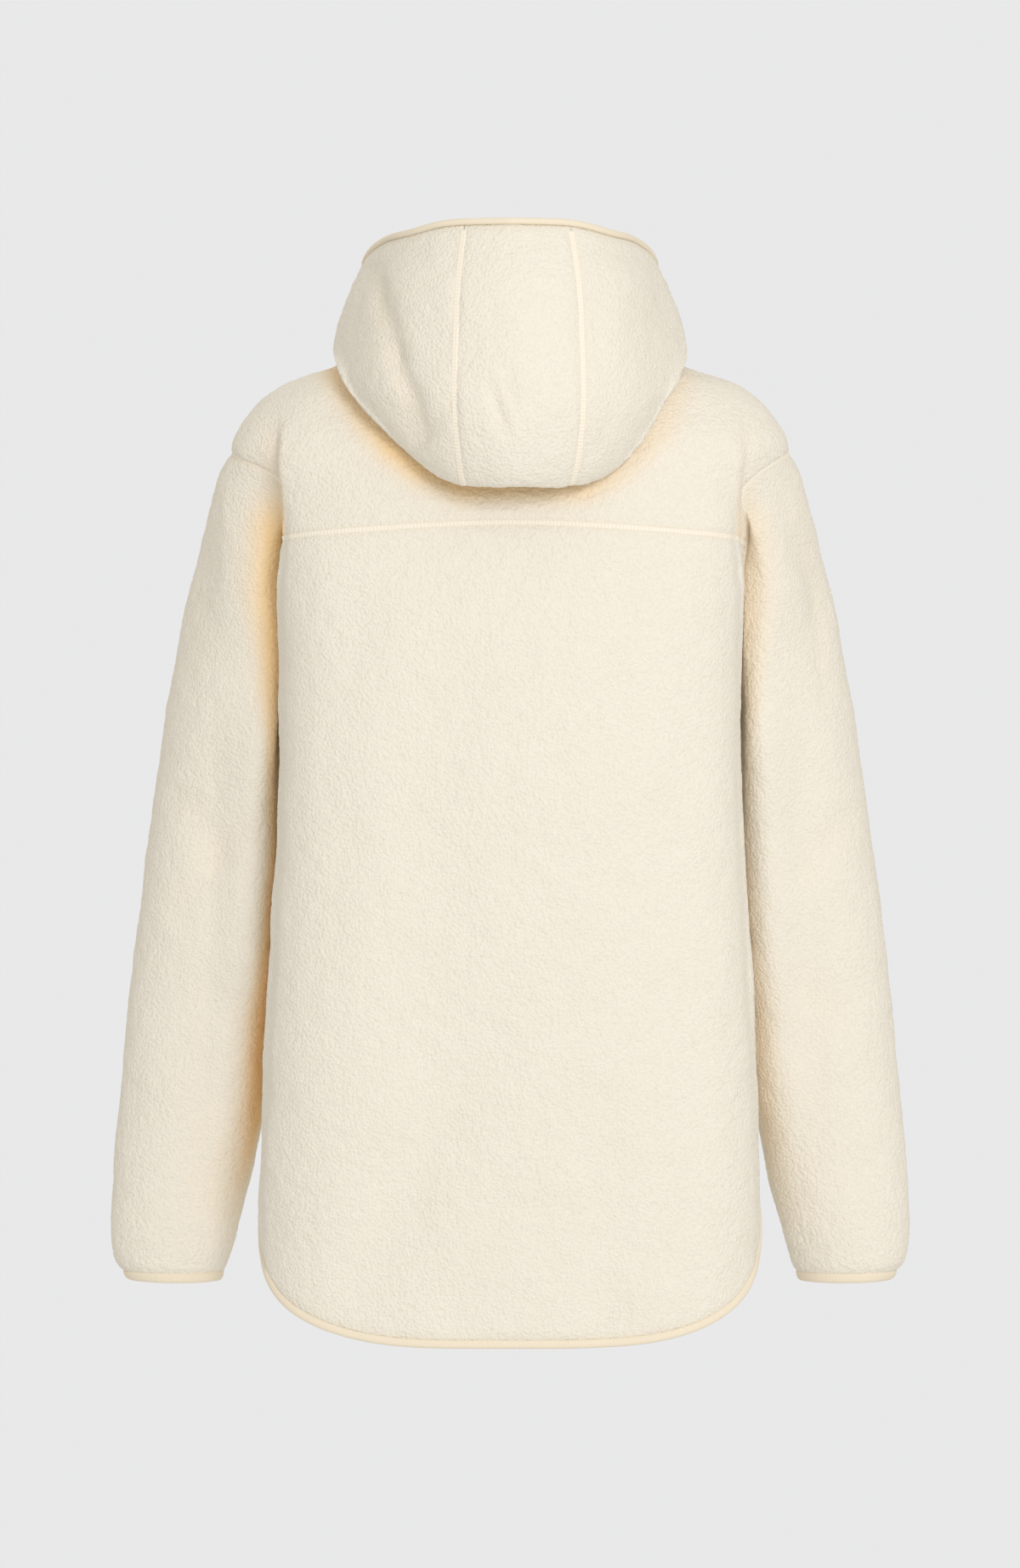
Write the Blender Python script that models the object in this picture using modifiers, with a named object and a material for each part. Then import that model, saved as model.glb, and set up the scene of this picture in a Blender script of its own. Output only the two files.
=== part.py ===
"""High-pile fleece jacket with a three-panel hood worn down, filled out as if worn.

Run it with  blender --background --python part.py  or from Blender's text editor.

Frame: metres, +Z up, the jacket's front faces -Y, the wearer's left is +X.
The origin lies between the shoulders at the height where they carry the jacket.

Every cloth piece is a wall: its outer face is worked out as a grid of points, its inner
face lies one wall thickness inside, and a rim closes it along each cut edge.  Pieces that
are sewn together share the points and the rim direction of their seam, and each one
stops SEAM_GAP / 2 short of it.
"""

import math

import bmesh
import bpy
import numpy as np
from mathutils import Matrix, Vector

# ---------------------------------------------------------------- driving dimensions

FLEECE = 0.0042          # thickness of the pile fleece
SEAM_GAP = 0.0003        # clearance between two pieces at a seam
MITRE_LIMIT = 1.7        # longest rim in a sharp crease, in wall thicknesses
BINDING_THICK = 0.0050   # bindings are a little thicker than the edge they wrap
BINDING_TALL = 0.0060    # how far a binding reaches past the fleece

SIDE_ANGLE = 90.0        # side seams and shoulder seams run at this angle from centre back
HEM_SIDE_Z = -0.655      # hem height at the side seams
HEM_BACK_Z = -0.750      # lowest point of the curved back hem
HEM_FRONT_Z = -0.715     # lowest point of the front hem
HEM_FLAT = 6.2           # a larger value keeps the hem level for longer from its middle
HEM_ROUND = 1.5          # above 1 it rounds the top of the curve at the side seams
UNDERARM_Z = -0.268      # bottom of the armhole
SHOULDER_Z = -0.066      # top of the armhole, on the dropped shoulder
YOKE_SIDE_Z = -0.140     # yoke seam at the armhole
YOKE_RISE = 0.014        # how much higher the yoke seam runs at centre back
NECK_BACK_Z = -0.004     # neck seam at centre back
NECK_SIDE_Z = 0.019      # neck seam on the shoulder
NECK_FRONT_Z = -0.056    # neck seam at centre front

# Horizontal sections of the body, hem to neck.  half_width is where the section is widest,
# at y = side_y; back_y and front_y are centre back and centre front.  The two exponents say
# how square each half of the section is (2 is an ellipse).
BODY_COLUMNS = ("z", "half_width", "side_y", "back_y", "front_y", "back_square", "front_square")
BODY_SECTIONS = (
    (-0.800, 0.1965, 0.018, 0.112, -0.112, 2.7, 2.3),
    (-0.700, 0.1960, 0.020, 0.118, -0.116, 2.7, 2.3),
    (-0.600, 0.1935, 0.024, 0.123, -0.119, 2.7, 2.2),
    (-0.480, 0.1880, 0.027, 0.128, -0.121, 2.7, 2.1),
    (-0.370, 0.1810, 0.029, 0.132, -0.122, 2.7, 2.0),
    (-0.270, 0.1790, 0.029, 0.135, -0.122, 2.7, 2.0),
    (-0.180, 0.1830, 0.027, 0.134, -0.119, 2.7, 2.1),
    (-0.110, 0.2000, 0.021, 0.127, -0.113, 2.6, 2.2),
    (-0.066, 0.2200, 0.017, 0.117, -0.106, 2.5, 2.2),
    (-0.038, 0.2080, 0.014, 0.105, -0.097, 2.4, 2.2),
    (-0.016, 0.1830, 0.011, 0.092, -0.086, 2.3, 2.1),
    (0.000, 0.1400, 0.008, 0.076, -0.074, 2.2, 2.1),
    (0.012, 0.1100, 0.005, 0.064, -0.064, 2.1, 2.0),
    (0.024, 0.0840, 0.002, 0.053, -0.054, 2.0, 2.0),
)

# The armhole seam, from the underarm up the back, over the shoulder and down the front.
ARMHOLE_COLUMNS = ("z", "angle")
ARMHOLE_ROWS = (
    (UNDERARM_Z, 100.0),
    (-0.250, 96.5),
    (-0.200, 93.0),
    (YOKE_SIDE_Z, 86.0),
    (-0.106, 73.5),
    (-0.080, 77.0),
    (SHOULDER_Z, 90.0),
    (-0.076, 101.0),
    (-0.106, 110.0),
    (-0.152, 116.0),
    (-0.205, 115.0),
    (-0.250, 108.0),
)
ARMHOLE_YOKE_ROW = 3
ARMHOLE_SHOULDER_ROW = 6

# Sections of a sleeve, armhole to cuff.  Each one lies between a point on the outer line and
# a point on the inner line; it is half_depth deep to the front and back of y_mid, and scoop
# is how far its front and back are drawn in towards the body, as the armhole is.
SLEEVE_COLUMNS = ("outer_x", "outer_z", "inner_x", "inner_z", "y_mid", "half_depth", "scoop")
SLEEVE_SECTIONS = (
    (0.2200, -0.0660, 0.1780, -0.2680, -0.008, 0.056, 0.030),
    (0.2400, -0.1130, 0.1805, -0.2840, -0.023, 0.061, 0.020),
    (0.2530, -0.1700, 0.1800, -0.3060, -0.037, 0.063, 0.010),
    (0.2665, -0.2350, 0.1790, -0.3380, -0.047, 0.064, 0.004),
    (0.2788, -0.3100, 0.1780, -0.3780, -0.054, 0.062, 0.001),
    (0.2900, -0.3900, 0.1790, -0.4300, -0.056, 0.059, 0.000),
    (0.2996, -0.4700, 0.1835, -0.4920, -0.056, 0.054, 0.000),
    (0.3080, -0.5500, 0.1910, -0.5600, -0.054, 0.048, 0.000),
    (0.3140, -0.6200, 0.2025, -0.6240, -0.051, 0.043, 0.000),
    (0.3165, -0.6700, 0.2150, -0.6720, -0.048, 0.039, 0.000),
    (0.3135, -0.7000, 0.2230, -0.7010, -0.046, 0.035, 0.000),
    (0.3060, -0.7125, 0.2275, -0.7130, -0.046, 0.032, 0.000),
)
SLEEVE_BLEND = 2.2       # sections over which the armhole's own shape fades out

# Profiles of the hood, from the neck seam over the roll behind the neck, down to the fold of
# the pouch and up its outer side to the face edge.  At each angle round the neck, _out is the
# distance outward from the neck seam and _z the height.
HOOD_PLACES = ("neck", "roll", "drop", "fold", "belly", "upper", "edge")
HOOD_COLUMNS = ("angle", "roll_out", "roll_z", "drop_out", "drop_z", "fold_out", "fold_z",
                "belly_out", "belly_z", "upper_out", "upper_z", "edge_out", "edge_z")
HOOD_SECTIONS = (
    (0.0, 0.022, 0.044, 0.056, -0.012, 0.086, -0.097, 0.118, -0.047, 0.108, 0.040, 0.086, 0.096),
    (30.0, 0.020, 0.044, 0.047, -0.004, 0.066, -0.086, 0.098, -0.040, 0.091, 0.040, 0.070, 0.096),
    (58.0, 0.017, 0.040, 0.036, 0.006, 0.047, -0.040, 0.067, -0.012, 0.054, 0.044, 0.037, 0.090),
    (80.0, 0.013, 0.033, 0.027, 0.020, 0.037, 0.008, 0.046, 0.020, 0.037, 0.052, 0.024, 0.080),
    (100.0, 0.009, 0.029, 0.019, 0.024, 0.029, 0.022, 0.033, 0.036, 0.028, 0.056, 0.019, 0.073),
    (128.0, 0.004, 0.004, 0.009, 0.010, 0.015, 0.020, 0.019, 0.034, 0.019, 0.048, 0.015, 0.060),
    (155.0, 0.001, -0.026, 0.003, -0.012, 0.005, 0.002, 0.008, 0.017, 0.010, 0.032, 0.011, 0.046),
    (180.0, 0.000, -0.042, 0.001, -0.028, 0.002, -0.013, 0.004, 0.003, 0.006, 0.019, 0.008, 0.035),
)
HOOD_TURN = -3.0         # the hood lies turned a little, so its gusset sits off centre
HOOD_CLEAR = 0.0042      # from the body's outer face to the hood's folded layer, at the least
HOOD_LAYERS = 0.0125     # from the face of that layer to the face of the layer over it
HOOD_FOLD_START = 2.6    # place on the profile where the fold between the two begins
GUSSET_ANGLE = 15.0      # the gusset reaches this far each side of its middle

# Zip, hidden at the front
ZIP_HALF_GAP = 0.0075    # the fleece stops this far from centre front
TAPE_INNER = 0.0036      # a tape starts this far from centre front, beside the chain
TAPE_OUTER = 0.0180      # and ends under the fleece
TAPE_THICK = 0.0010
TAPE_DEPTH = 0.0006      # clearance between the fleece and the tape behind it
TAPE_END = 0.12          # a tape and the chain stop this share of a row short of each end
CHAIN_HALF = 0.0032
CHAIN_THICK = 0.0028
SLIDER_HALF = 0.0045     # half the slider's width
SLIDER_TALL = 0.0100
SLIDER_PLATE = 0.0012    # thickness of its front and back plates
SLIDER_RUN = 0.0003      # running clearance between the chain and each plate
SLIDER_DOWN = 0.0100     # from the chain's upper end down to the slider's top
WEDGE_HALF = 0.0026
WEDGE_TALL = 0.0034
BRIDGE_HALF = 0.0010     # half the width of the bridge that the pull tab hangs on
BRIDGE_TALL = 0.0062
BRIDGE_OUT = 0.0034      # how far the bridge stands out from the front plate
BRIDGE_LEG = 0.0013
TAB_HALF = 0.0034
TAB_LONG = 0.0290        # from the hinge axis to the tab's lower end
TAB_THICK = 0.0012
TAB_BAR = 0.0007         # half the height of the bar above the tab's eye
TAB_EYE_HALF = 0.0016
TAB_EYE_LONG = 0.0045    # lower end of the eye, below the hinge axis
METAL_ROUND = 0.0002     # rounding of the slider's and the tab's edges
OVERLAP = 0.0004         # how far two boxes of the slider run into each other

# Counts of grid cells.  Pieces that share a seam share its points.
SIDE_ROWS = 7            # side seam
ARM_BACK_ROWS = 5        # armhole, underarm to yoke seam
ARM_YOKE_ROWS = 5        # armhole, yoke seam to shoulder
ARM_FRONT_ROWS = 10      # armhole, shoulder to underarm down the front
SHOULDER_ROWS = 4
NECK_BACK_COLUMNS = (7, 3, 8)    # left of the hood's gusset, across it and right of it
NECK_FRONT_COLUMNS = 9
SLEEVE_RINGS = 11
HOOD_ROWS = 14


# ---------------------------------------------------------------- curves and tables

def smooth_column(places, knots, values):
    """Cubic through the knots, with the slope at each knot taken from its neighbours."""
    knots = np.asarray(knots, float)
    values = np.asarray(values, float)
    slopes = np.gradient(values, knots)
    places = np.clip(places, knots[0], knots[-1])
    cell = np.clip(np.searchsorted(knots, places, side="right") - 1, 0, len(knots) - 2)
    width = knots[cell + 1] - knots[cell]
    t = (places - knots[cell]) / width
    rise_a = slopes[cell] * width
    rise_b = slopes[cell + 1] * width
    a = values[cell]
    b = values[cell + 1]
    return (a * (2 * t**3 - 3 * t**2 + 1) + rise_a * (t**3 - 2 * t**2 + t)
            + b * (3 * t**2 - 2 * t**3) + rise_b * (t**3 - t**2))


def table(columns, rows):
    """The rows of a table as one array for each named column."""
    values = np.array(rows, float)
    return {name: values[:, index] for index, name in enumerate(columns)}


BODY = table(BODY_COLUMNS, BODY_SECTIONS)
BODY_LEVELS = np.arange(len(BODY_SECTIONS), dtype=float)
SLEEVE = table(SLEEVE_COLUMNS, SLEEVE_SECTIONS)
SLEEVE_LEVELS = np.arange(len(SLEEVE_SECTIONS), dtype=float)
HOOD = table(HOOD_COLUMNS, HOOD_SECTIONS)


def body_column(name, level):
    """One column of the body's table at any level, a number that counts its sections."""
    return smooth_column(level, BODY_LEVELS, BODY[name])


def level_at(z):
    """The level of the body's table at a height."""
    fine = np.linspace(0, BODY_LEVELS[-1], 2000)
    return np.interp(z, body_column("z", fine), fine)


def body_point(angle, level):
    """Outer face of the body, at an angle in degrees from centre back and a level."""
    angle = np.asarray(angle, float)
    level = np.asarray(level, float)
    angle, level = np.broadcast_arrays(angle, level)
    turn = np.radians(angle)
    side = np.sin(turn)
    along = np.cos(turn)
    side_y = body_column("side_y", level)
    is_back = along >= 0
    reach = np.where(is_back, body_column("back_y", level) - side_y,
                     side_y - body_column("front_y", level))
    power = np.where(is_back, body_column("back_square", level),
                     body_column("front_square", level))
    half_width = body_column("half_width", level)
    radius = (np.abs(along / reach)**power + np.abs(side / half_width)**power)**(-1 / power)
    z = body_column("z", level)
    return np.stack([radius * side, side_y + radius * along, z], axis=-1)


def unit(vectors):
    """Vectors scaled to length one."""
    length = np.linalg.norm(vectors, axis=-1, keepdims=True)
    return vectors / np.maximum(length, 1e-12)


def body_normal(angle, level):
    """Outward normal of the body's outer face, from small steps in angle and level."""
    step_angle = 0.5
    step_level = 0.02
    low = np.clip(np.asarray(level) - step_level, 0, BODY_LEVELS[-1])
    high = np.clip(np.asarray(level) + step_level, 0, BODY_LEVELS[-1])
    across = body_point(angle + step_angle, level) - body_point(angle - step_angle, level)
    up = body_point(angle, high) - body_point(angle, low)
    return unit(np.cross(up, across))


# ---------------------------------------------------------------- seams as (angle, level)

def run(start, end, count):
    """count + 1 even steps from start to end."""
    return np.linspace(start, end, count + 1)


def hem_level(angle, middle_z, middle_angle):
    """Curved hem: level near its middle, then rising in a round curve to the side seams."""
    away = np.clip(np.abs(np.asarray(angle) - middle_angle) / 90.0, 0, 1)
    rise = 1 - (1 - away**HEM_FLAT)**HEM_ROUND
    return level_at(middle_z + (HEM_SIDE_Z - middle_z) * rise)


def back_hem(angle):
    """Level of the back hem at an angle."""
    return hem_level(angle, HEM_BACK_Z, 0.0)


def front_hem(angle):
    """Level of the front hem at an angle."""
    return hem_level(angle, HEM_FRONT_Z, 180.0)


def yoke_level(angle, edge_angle):
    """Level of the yoke seam, highest at centre back."""
    away = np.abs(angle) / edge_angle
    return level_at(YOKE_SIDE_Z + YOKE_RISE * np.cos(away * math.pi / 2))


def neck_level(angle):
    """Level of the neck seam: highest on the shoulders, lowest at centre front."""
    away = np.abs(np.asarray(angle, float))
    back = NECK_BACK_Z + (NECK_SIDE_Z - NECK_BACK_Z) * np.sin(np.radians(away))**2
    drop = np.sin(np.radians((np.clip(away, 90, 180) - 90)))**1.6
    front = NECK_SIDE_Z + (NECK_FRONT_Z - NECK_SIDE_Z) * drop
    return level_at(np.where(away <= 90, back, front))


def even_by_length(angle, level, count):
    """Points spaced evenly by length along a finely sampled line on the body."""
    points = body_point(angle, level)
    length = np.concatenate([[0], np.cumsum(np.linalg.norm(np.diff(points, axis=0), axis=1))])
    places = np.linspace(0, length[-1], count + 1)
    return np.stack([np.interp(places, length, angle), np.interp(places, length, level)], axis=-1)


def armhole_part(first_row, last_row, count):
    """Points of the armhole seam between two rows of its table, which closes on itself."""
    armhole = table(ARMHOLE_COLUMNS, ARMHOLE_ROWS)
    total = len(ARMHOLE_ROWS)
    wrap = np.arange(-2, total + 3)
    fine = np.linspace(first_row, last_row, 300)
    angle = smooth_column(fine, wrap, armhole["angle"][wrap % total])
    z = smooth_column(fine, wrap, armhole["z"][wrap % total])
    return even_by_length(angle, level_at(z), count)


ARM_BACK = armhole_part(0, ARMHOLE_YOKE_ROW, ARM_BACK_ROWS)
ARM_YOKE = armhole_part(ARMHOLE_YOKE_ROW, ARMHOLE_SHOULDER_ROW, ARM_YOKE_ROWS)
ARM_FRONT = armhole_part(ARMHOLE_SHOULDER_ROW, len(ARMHOLE_ROWS), ARM_FRONT_ROWS)
YOKE_ANGLE = ARM_BACK[-1, 0]


def side_seam():
    """Side seam, hem to underarm."""
    z = run(HEM_SIDE_Z, UNDERARM_Z, SIDE_ROWS)
    angle = np.interp(z, [HEM_SIDE_Z, UNDERARM_Z], [SIDE_ANGLE, ARM_BACK[0, 0]])
    return np.stack([angle, level_at(z)], axis=-1)


def shoulder_seam():
    """Shoulder seam, shoulder point to neck."""
    levels = np.linspace(ARM_FRONT[0, 1], float(neck_level(SIDE_ANGLE)), 100)
    return even_by_length(np.full(100, SIDE_ANGLE), levels, SHOULDER_ROWS)


def neck_back_angles():
    """Angles of the neck seam's points from the left shoulder round the back to the right."""
    gusset_left = HOOD_TURN + GUSSET_ANGLE
    gusset_right = HOOD_TURN - GUSSET_ANGLE
    left = run(SIDE_ANGLE, gusset_left, NECK_BACK_COLUMNS[0])
    middle = run(gusset_left, gusset_right, NECK_BACK_COLUMNS[1])
    right = run(gusset_right, -SIDE_ANGLE, NECK_BACK_COLUMNS[2])
    return np.concatenate([left, middle[1:], right[1:]])


def with_neck_level(angles):
    """Angles of the neck seam with the level of the seam at each one."""
    return np.stack([angles, neck_level(angles)], axis=-1)


def front_edge_angle(level):
    """Angle at which the fleece of a front stops beside the zip."""
    front_y = body_column("front_y", level) - body_column("side_y", level)
    return 180 - np.degrees(np.arctan2(ZIP_HALF_GAP, -front_y))


def coons(bottom, top, left, right):
    """Grid between four lines: rows run from bottom to top, columns from left to right."""
    across = np.linspace(0, 1, len(bottom))[None, :, None]
    up = np.linspace(0, 1, len(left))[:, None, None]
    ruled_up = (1 - up) * bottom[None] + up * top[None]
    ruled_across = (1 - across) * left[:, None] + across * right[:, None]
    corners = ((1 - up) * ((1 - across) * bottom[0] + across * bottom[-1])
               + up * ((1 - across) * top[0] + across * top[-1]))
    return ruled_up + ruled_across - corners


def flipped(line):
    """The same line on the other side of the body."""
    return line * np.array([-1.0, 1.0])


# ---------------------------------------------------------------- the cloth surfaces

def back_panel_grid():
    """Back panel: hem to yoke seam, left side seam and armhole to the right ones."""
    hem_angles = run(SIDE_ANGLE, -SIDE_ANGLE, sum(NECK_BACK_COLUMNS))
    hem = np.stack([hem_angles, back_hem(hem_angles)], axis=-1)
    left = np.concatenate([side_seam(), ARM_BACK[1:]])
    return coons(hem, yoke_seam(), left, flipped(left))


def yoke_seam():
    """Yoke seam from the left armhole to the right one."""
    angles = run(YOKE_ANGLE, -YOKE_ANGLE, sum(NECK_BACK_COLUMNS))
    return np.stack([angles, yoke_level(angles, YOKE_ANGLE)], axis=-1)


def yoke_grid():
    """Back yoke: yoke seam to the back neck, armhole and shoulder seam on each side."""
    left = np.concatenate([ARM_YOKE, shoulder_seam()[1:]])
    return coons(yoke_seam(), with_neck_level(neck_back_angles()), left, flipped(left))


def neck_front():
    """Neck seam of the left front, shoulder to the zip."""
    end_angle = float(front_edge_angle(neck_level(178.0)))
    return with_neck_level(run(SIDE_ANGLE, end_angle, NECK_FRONT_COLUMNS))


def front_grid():
    """Left front: hem to neck; side seam, armhole and shoulder seam to the zip."""
    end_angle = float(front_edge_angle(front_hem(178.0)))
    hem_angles = run(SIDE_ANGLE, end_angle, NECK_FRONT_COLUMNS)
    hem = np.stack([hem_angles, front_hem(hem_angles)], axis=-1)
    side = np.concatenate([side_seam(), ARM_FRONT[-2::-1], shoulder_seam()[1:]])
    neck = neck_front()
    levels = np.linspace(hem[-1, 1], neck[-1, 1], len(side))
    edge = np.stack([front_edge_angle(levels), levels], axis=-1)
    return coons(hem, neck, side, edge)


def armhole_loop():
    """The left armhole seam from the shoulder down the front, then up the back."""
    return np.concatenate([ARM_FRONT[:-1], ARM_BACK[:-1], ARM_YOKE[:-1]])


def sleeve_points(turn, level):
    """Outer face of the left sleeve away from the armhole: a section round two lines."""
    place = {name: smooth_column(level, SLEEVE_LEVELS, SLEEVE[name]) for name in SLEEVE_COLUMNS}
    middle_x = (place["outer_x"] + place["inner_x"]) / 2
    middle_z = (place["outer_z"] + place["inner_z"]) / 2
    half_x = (place["outer_x"] - place["inner_x"]) / 2
    half_z = (place["outer_z"] - place["inner_z"]) / 2
    across = np.cos(turn)
    along = np.sin(turn)
    return np.stack([middle_x + half_x * across - place["scoop"] * along**2,
                     place["y_mid"] - place["half_depth"] * along,
                     middle_z + half_z * across], axis=-1)


def sleeve_grid():
    """Left sleeve: rings from the armhole seam to the cuff."""
    loop = armhole_loop()
    seam = body_point(loop[:, 0], loop[:, 1])
    steps = np.linalg.norm(np.roll(seam, -1, axis=0) - seam, axis=1)
    length = np.concatenate([[0], np.cumsum(steps)])
    underarm = length[ARM_FRONT_ROWS]
    seam_turn = np.interp(length[:-1], [0, underarm, length[-1]], [0, math.pi, 2 * math.pi])
    even_turn = np.linspace(0, 2 * math.pi, len(loop), endpoint=False)
    levels = np.linspace(0, SLEEVE_LEVELS[-1], SLEEVE_RINGS + 1)[:, None]
    share = levels / SLEEVE_LEVELS[-1]
    turn = seam_turn * (1 - share) + even_turn * share
    rings = sleeve_points(turn, levels)
    fade = np.clip(levels / SLEEVE_BLEND, 0, 1)
    weight = (1 - fade)**2 * (1 + 2 * fade)
    return rings + weight[:, :, None] * (seam[None] - rings[0][None])


def hood_point(angle, place):
    """Outer face of the hood at an angle round the neck and a place from neck to edge."""
    angle = np.asarray(angle, float)
    away = np.abs(angle)
    seam = body_point(angle, neck_level(angle))
    turn = np.radians(angle)
    outs = [np.zeros_like(away)]
    heights = [seam[..., 2]]
    for name in HOOD_PLACES[1:]:
        outs.append(smooth_column(away, HOOD["angle"], HOOD[name + "_out"]))
        heights.append(smooth_column(away, HOOD["angle"], HOOD[name + "_z"]))
    knots = np.arange(len(HOOD_PLACES))
    rows = []
    for step in np.atleast_1d(place):
        blend = [float(smooth_column(step, knots, knots == knot)) for knot in knots]
        out = sum(part * share for part, share in zip(outs, blend))
        z = sum(part * share for part, share in zip(heights, blend))
        point = np.stack([seam[..., 0] + out * np.sin(turn),
                          seam[..., 1] + out * np.cos(turn), z], axis=-1)
        away = HOOD_CLEAR * min(max(float(step), 0.0), 1.0)
        away += HOOD_LAYERS * min(max(float(step) - HOOD_FOLD_START, 0.0), 1.0)
        rows.append(clear_of_body(point, away))
    return np.array(rows)


def clear_of_body(point, clearance):
    """The points of the hood, moved out of the body where they lie closer than a clearance."""
    for _ in range(3):
        level = level_at(point[..., 2])
        along = point[..., 1] - body_column("side_y", level)
        angle = np.degrees(np.arctan2(point[..., 0], along))
        normal = body_normal(angle, level)
        away = np.sum((point - body_point(angle, level)) * normal, axis=-1)
        below_neck = np.clip((neck_level(angle) - level) / 0.4, 0, 1)
        push = np.maximum(clearance - away, 0) * below_neck
        point = point + push[..., None] * normal
    return point


def neck_loop():
    """Angles of the whole neck seam, left of the zip round the back to right of it."""
    front = neck_front()[:, 0]
    return np.concatenate([front[:0:-1], neck_back_angles(), -front[1:]])


def hood_normal(angle, place):
    """Outward normal of the hood, from small steps in angle and place."""
    step_angle = 1.0
    step_place = 0.03
    top = len(HOOD_PLACES) - 1
    low = np.clip(np.asarray(place) - step_place, 0, top)
    high = np.clip(np.asarray(place) + step_place, 0, top)
    across = hood_point(angle + step_angle, place) - hood_point(angle - step_angle, place)
    up = hood_point(angle, high) - hood_point(angle, low)
    return unit(np.cross(up, across))


# ---------------------------------------------------------------- solids from grids

def mitre(first, second):
    """Rim half way between two pieces' normals, lengthened so that both walls stay thick."""
    both = first + second
    half_length = np.linalg.norm(both, axis=-1, keepdims=True) / 2
    return unit(both) / np.maximum(half_length, 1 / MITRE_LIMIT)


def loop_tangent(points, closed):
    """Direction along a line of points at each of them."""
    if closed:
        return unit(np.roll(points, -1, axis=0) - np.roll(points, 1, axis=0))
    return unit(np.gradient(points, axis=0))


def stop_short(outer, rims, sides, closed):
    """Move the named edges of a grid inward by half a seam gap, square to their rims."""
    moved = outer.copy()
    lines = {"bottom": (0, 1), "top": (-1, -2)}
    for side in sides:
        if side in lines:
            edge, inside = lines[side]
            line, rim, inner_line = outer[edge], rims[edge], outer[inside]
        else:
            edge, inside = (0, 1) if side == "left" else (-1, -2)
            line, rim, inner_line = outer[:, edge], rims[:, edge], outer[:, inside]
        ring = closed and side in lines
        inward = unit(np.cross(loop_tangent(line, ring), rim))
        facing = np.sum(inward * (inner_line - line), axis=-1, keepdims=True)
        shift = inward * np.where(facing >= 0, 1, -1) * SEAM_GAP / 2
        if side in lines:
            moved[edge] += shift
        else:
            moved[:, edge] += shift
    return moved


def grid_faces(rows, columns, closed):
    """Faces of a wall whose outer and inner grids each have rows x columns points."""
    def number(row, column, inner):
        return inner * rows * columns + row * columns + column % columns

    faces = []
    last_column = columns if closed else columns - 1
    for row in range(rows - 1):
        for column in range(last_column):
            corners = ((row, column), (row, column + 1), (row + 1, column + 1), (row + 1, column))
            faces.append([number(r, c, 0) for r, c in corners])
            faces.append([number(r, c, 1) for r, c in reversed(corners)])
    for column in range(last_column):
        for row in (0, rows - 1):
            faces.append([number(row, column, 0), number(row, column + 1, 0),
                          number(row, column + 1, 1), number(row, column, 1)])
    if not closed:
        for row in range(rows - 1):
            for column in (0, columns - 1):
                faces.append([number(row, column, 0), number(row + 1, column, 0),
                              number(row + 1, column, 1), number(row, column, 1)])
    return faces


def add_object(name, points, faces, material, collection, sharp_angle=35.0):
    """A mesh object whose faces are made to point outwards."""
    mesh = bpy.data.meshes.new(name)
    mesh.from_pydata([tuple(point) for point in points], [], faces)
    shape = bmesh.new()
    shape.from_mesh(mesh)
    bmesh.ops.recalc_face_normals(shape, faces=shape.faces)
    bmesh.ops.triangulate(shape, faces=shape.faces)
    shape.to_mesh(mesh)
    shape.free()
    mesh.shade_smooth()
    mesh.set_sharp_from_angle(angle=math.radians(sharp_angle))
    mesh.materials.append(material)
    thing = bpy.data.objects.new(name, mesh)
    collection.objects.link(thing)
    return thing


def add_wall(name, outer, rims, sides, closed, material, collection):
    """A cloth piece: its outer grid, an inner grid one fleece thickness inside, and rims."""
    outer = stop_short(outer, rims, sides, closed)
    inner = outer - rims * FLEECE
    rows, columns = outer.shape[:2]
    points = np.concatenate([outer.reshape(-1, 3), inner.reshape(-1, 3)])
    faces = grid_faces(rows, columns, closed)
    return add_object(name, points, faces, material, collection)


def mirrored(points):
    """The same points on the other side of the body."""
    return points * np.array([-1.0, 1.0, 1.0])


def add_bar(name, line, normals, aim, closed, material, collection):
    """A binding: a rounded bar that carries on past a cut edge.

    line is the edge of the outer face, normals point out of the cloth there and aim says
    on which side of the edge the bar lies.
    """
    section = ((1.0, 0.0), (1.0, 0.70), (0.45, 1.0), (-0.45, 1.0), (-1.0, 0.70), (-1.0, 0.0))
    away = unit(np.cross(loop_tangent(line, closed), normals))
    away *= np.where(np.sum(away * aim, axis=-1, keepdims=True) >= 0, 1, -1)
    middle = line - normals * FLEECE / 2
    rings = [middle + normals * share * BINDING_THICK / 2
             + away * (SEAM_GAP / 2 + reach * BINDING_TALL) for share, reach in section]
    points = np.stack(rings, axis=1)
    count, sides = points.shape[:2]
    faces = []
    for step in range(count if closed else count - 1):
        following = (step + 1) % count
        for side in range(sides):
            beside = (side + 1) % sides
            faces.append([step * sides + side, step * sides + beside,
                          following * sides + beside, following * sides + side])
    if not closed:
        faces.append(list(range(sides)))
        faces.append([(count - 1) * sides + side for side in reversed(range(sides))])
    return add_object(name, points.reshape(-1, 3), faces, material, collection)


def shortened(line, length, stop):
    """A line of points up to a length along it, where the last point is worked in."""
    kept = line[length < stop]
    last = [np.interp(stop, length, line[:, axis]) for axis in range(3)]
    return np.concatenate([kept, [last]])


def add_strip(name, left, right, normals, depth, thick, material, collection):
    """A flat strip between two lines, its outer face a depth inside them."""
    outer = np.stack([left, right], axis=1) - normals[:, None] * depth
    inner = outer - normals[:, None] * thick
    points = np.concatenate([outer.reshape(-1, 3), inner.reshape(-1, 3)])
    return add_object(name, points, grid_faces(len(left), 2, False), material, collection)


def block(low, high):
    """A box primitive between two corners, as a temporary object."""
    bpy.ops.mesh.primitive_cube_add(size=1)
    box = bpy.context.object
    size = [b - a for a, b in zip(low, high)]
    middle = [(a + b) / 2 for a, b in zip(low, high)]
    box.data.transform(Matrix.Translation(middle) @ Matrix.Diagonal((*size, 1)))
    return box


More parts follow.
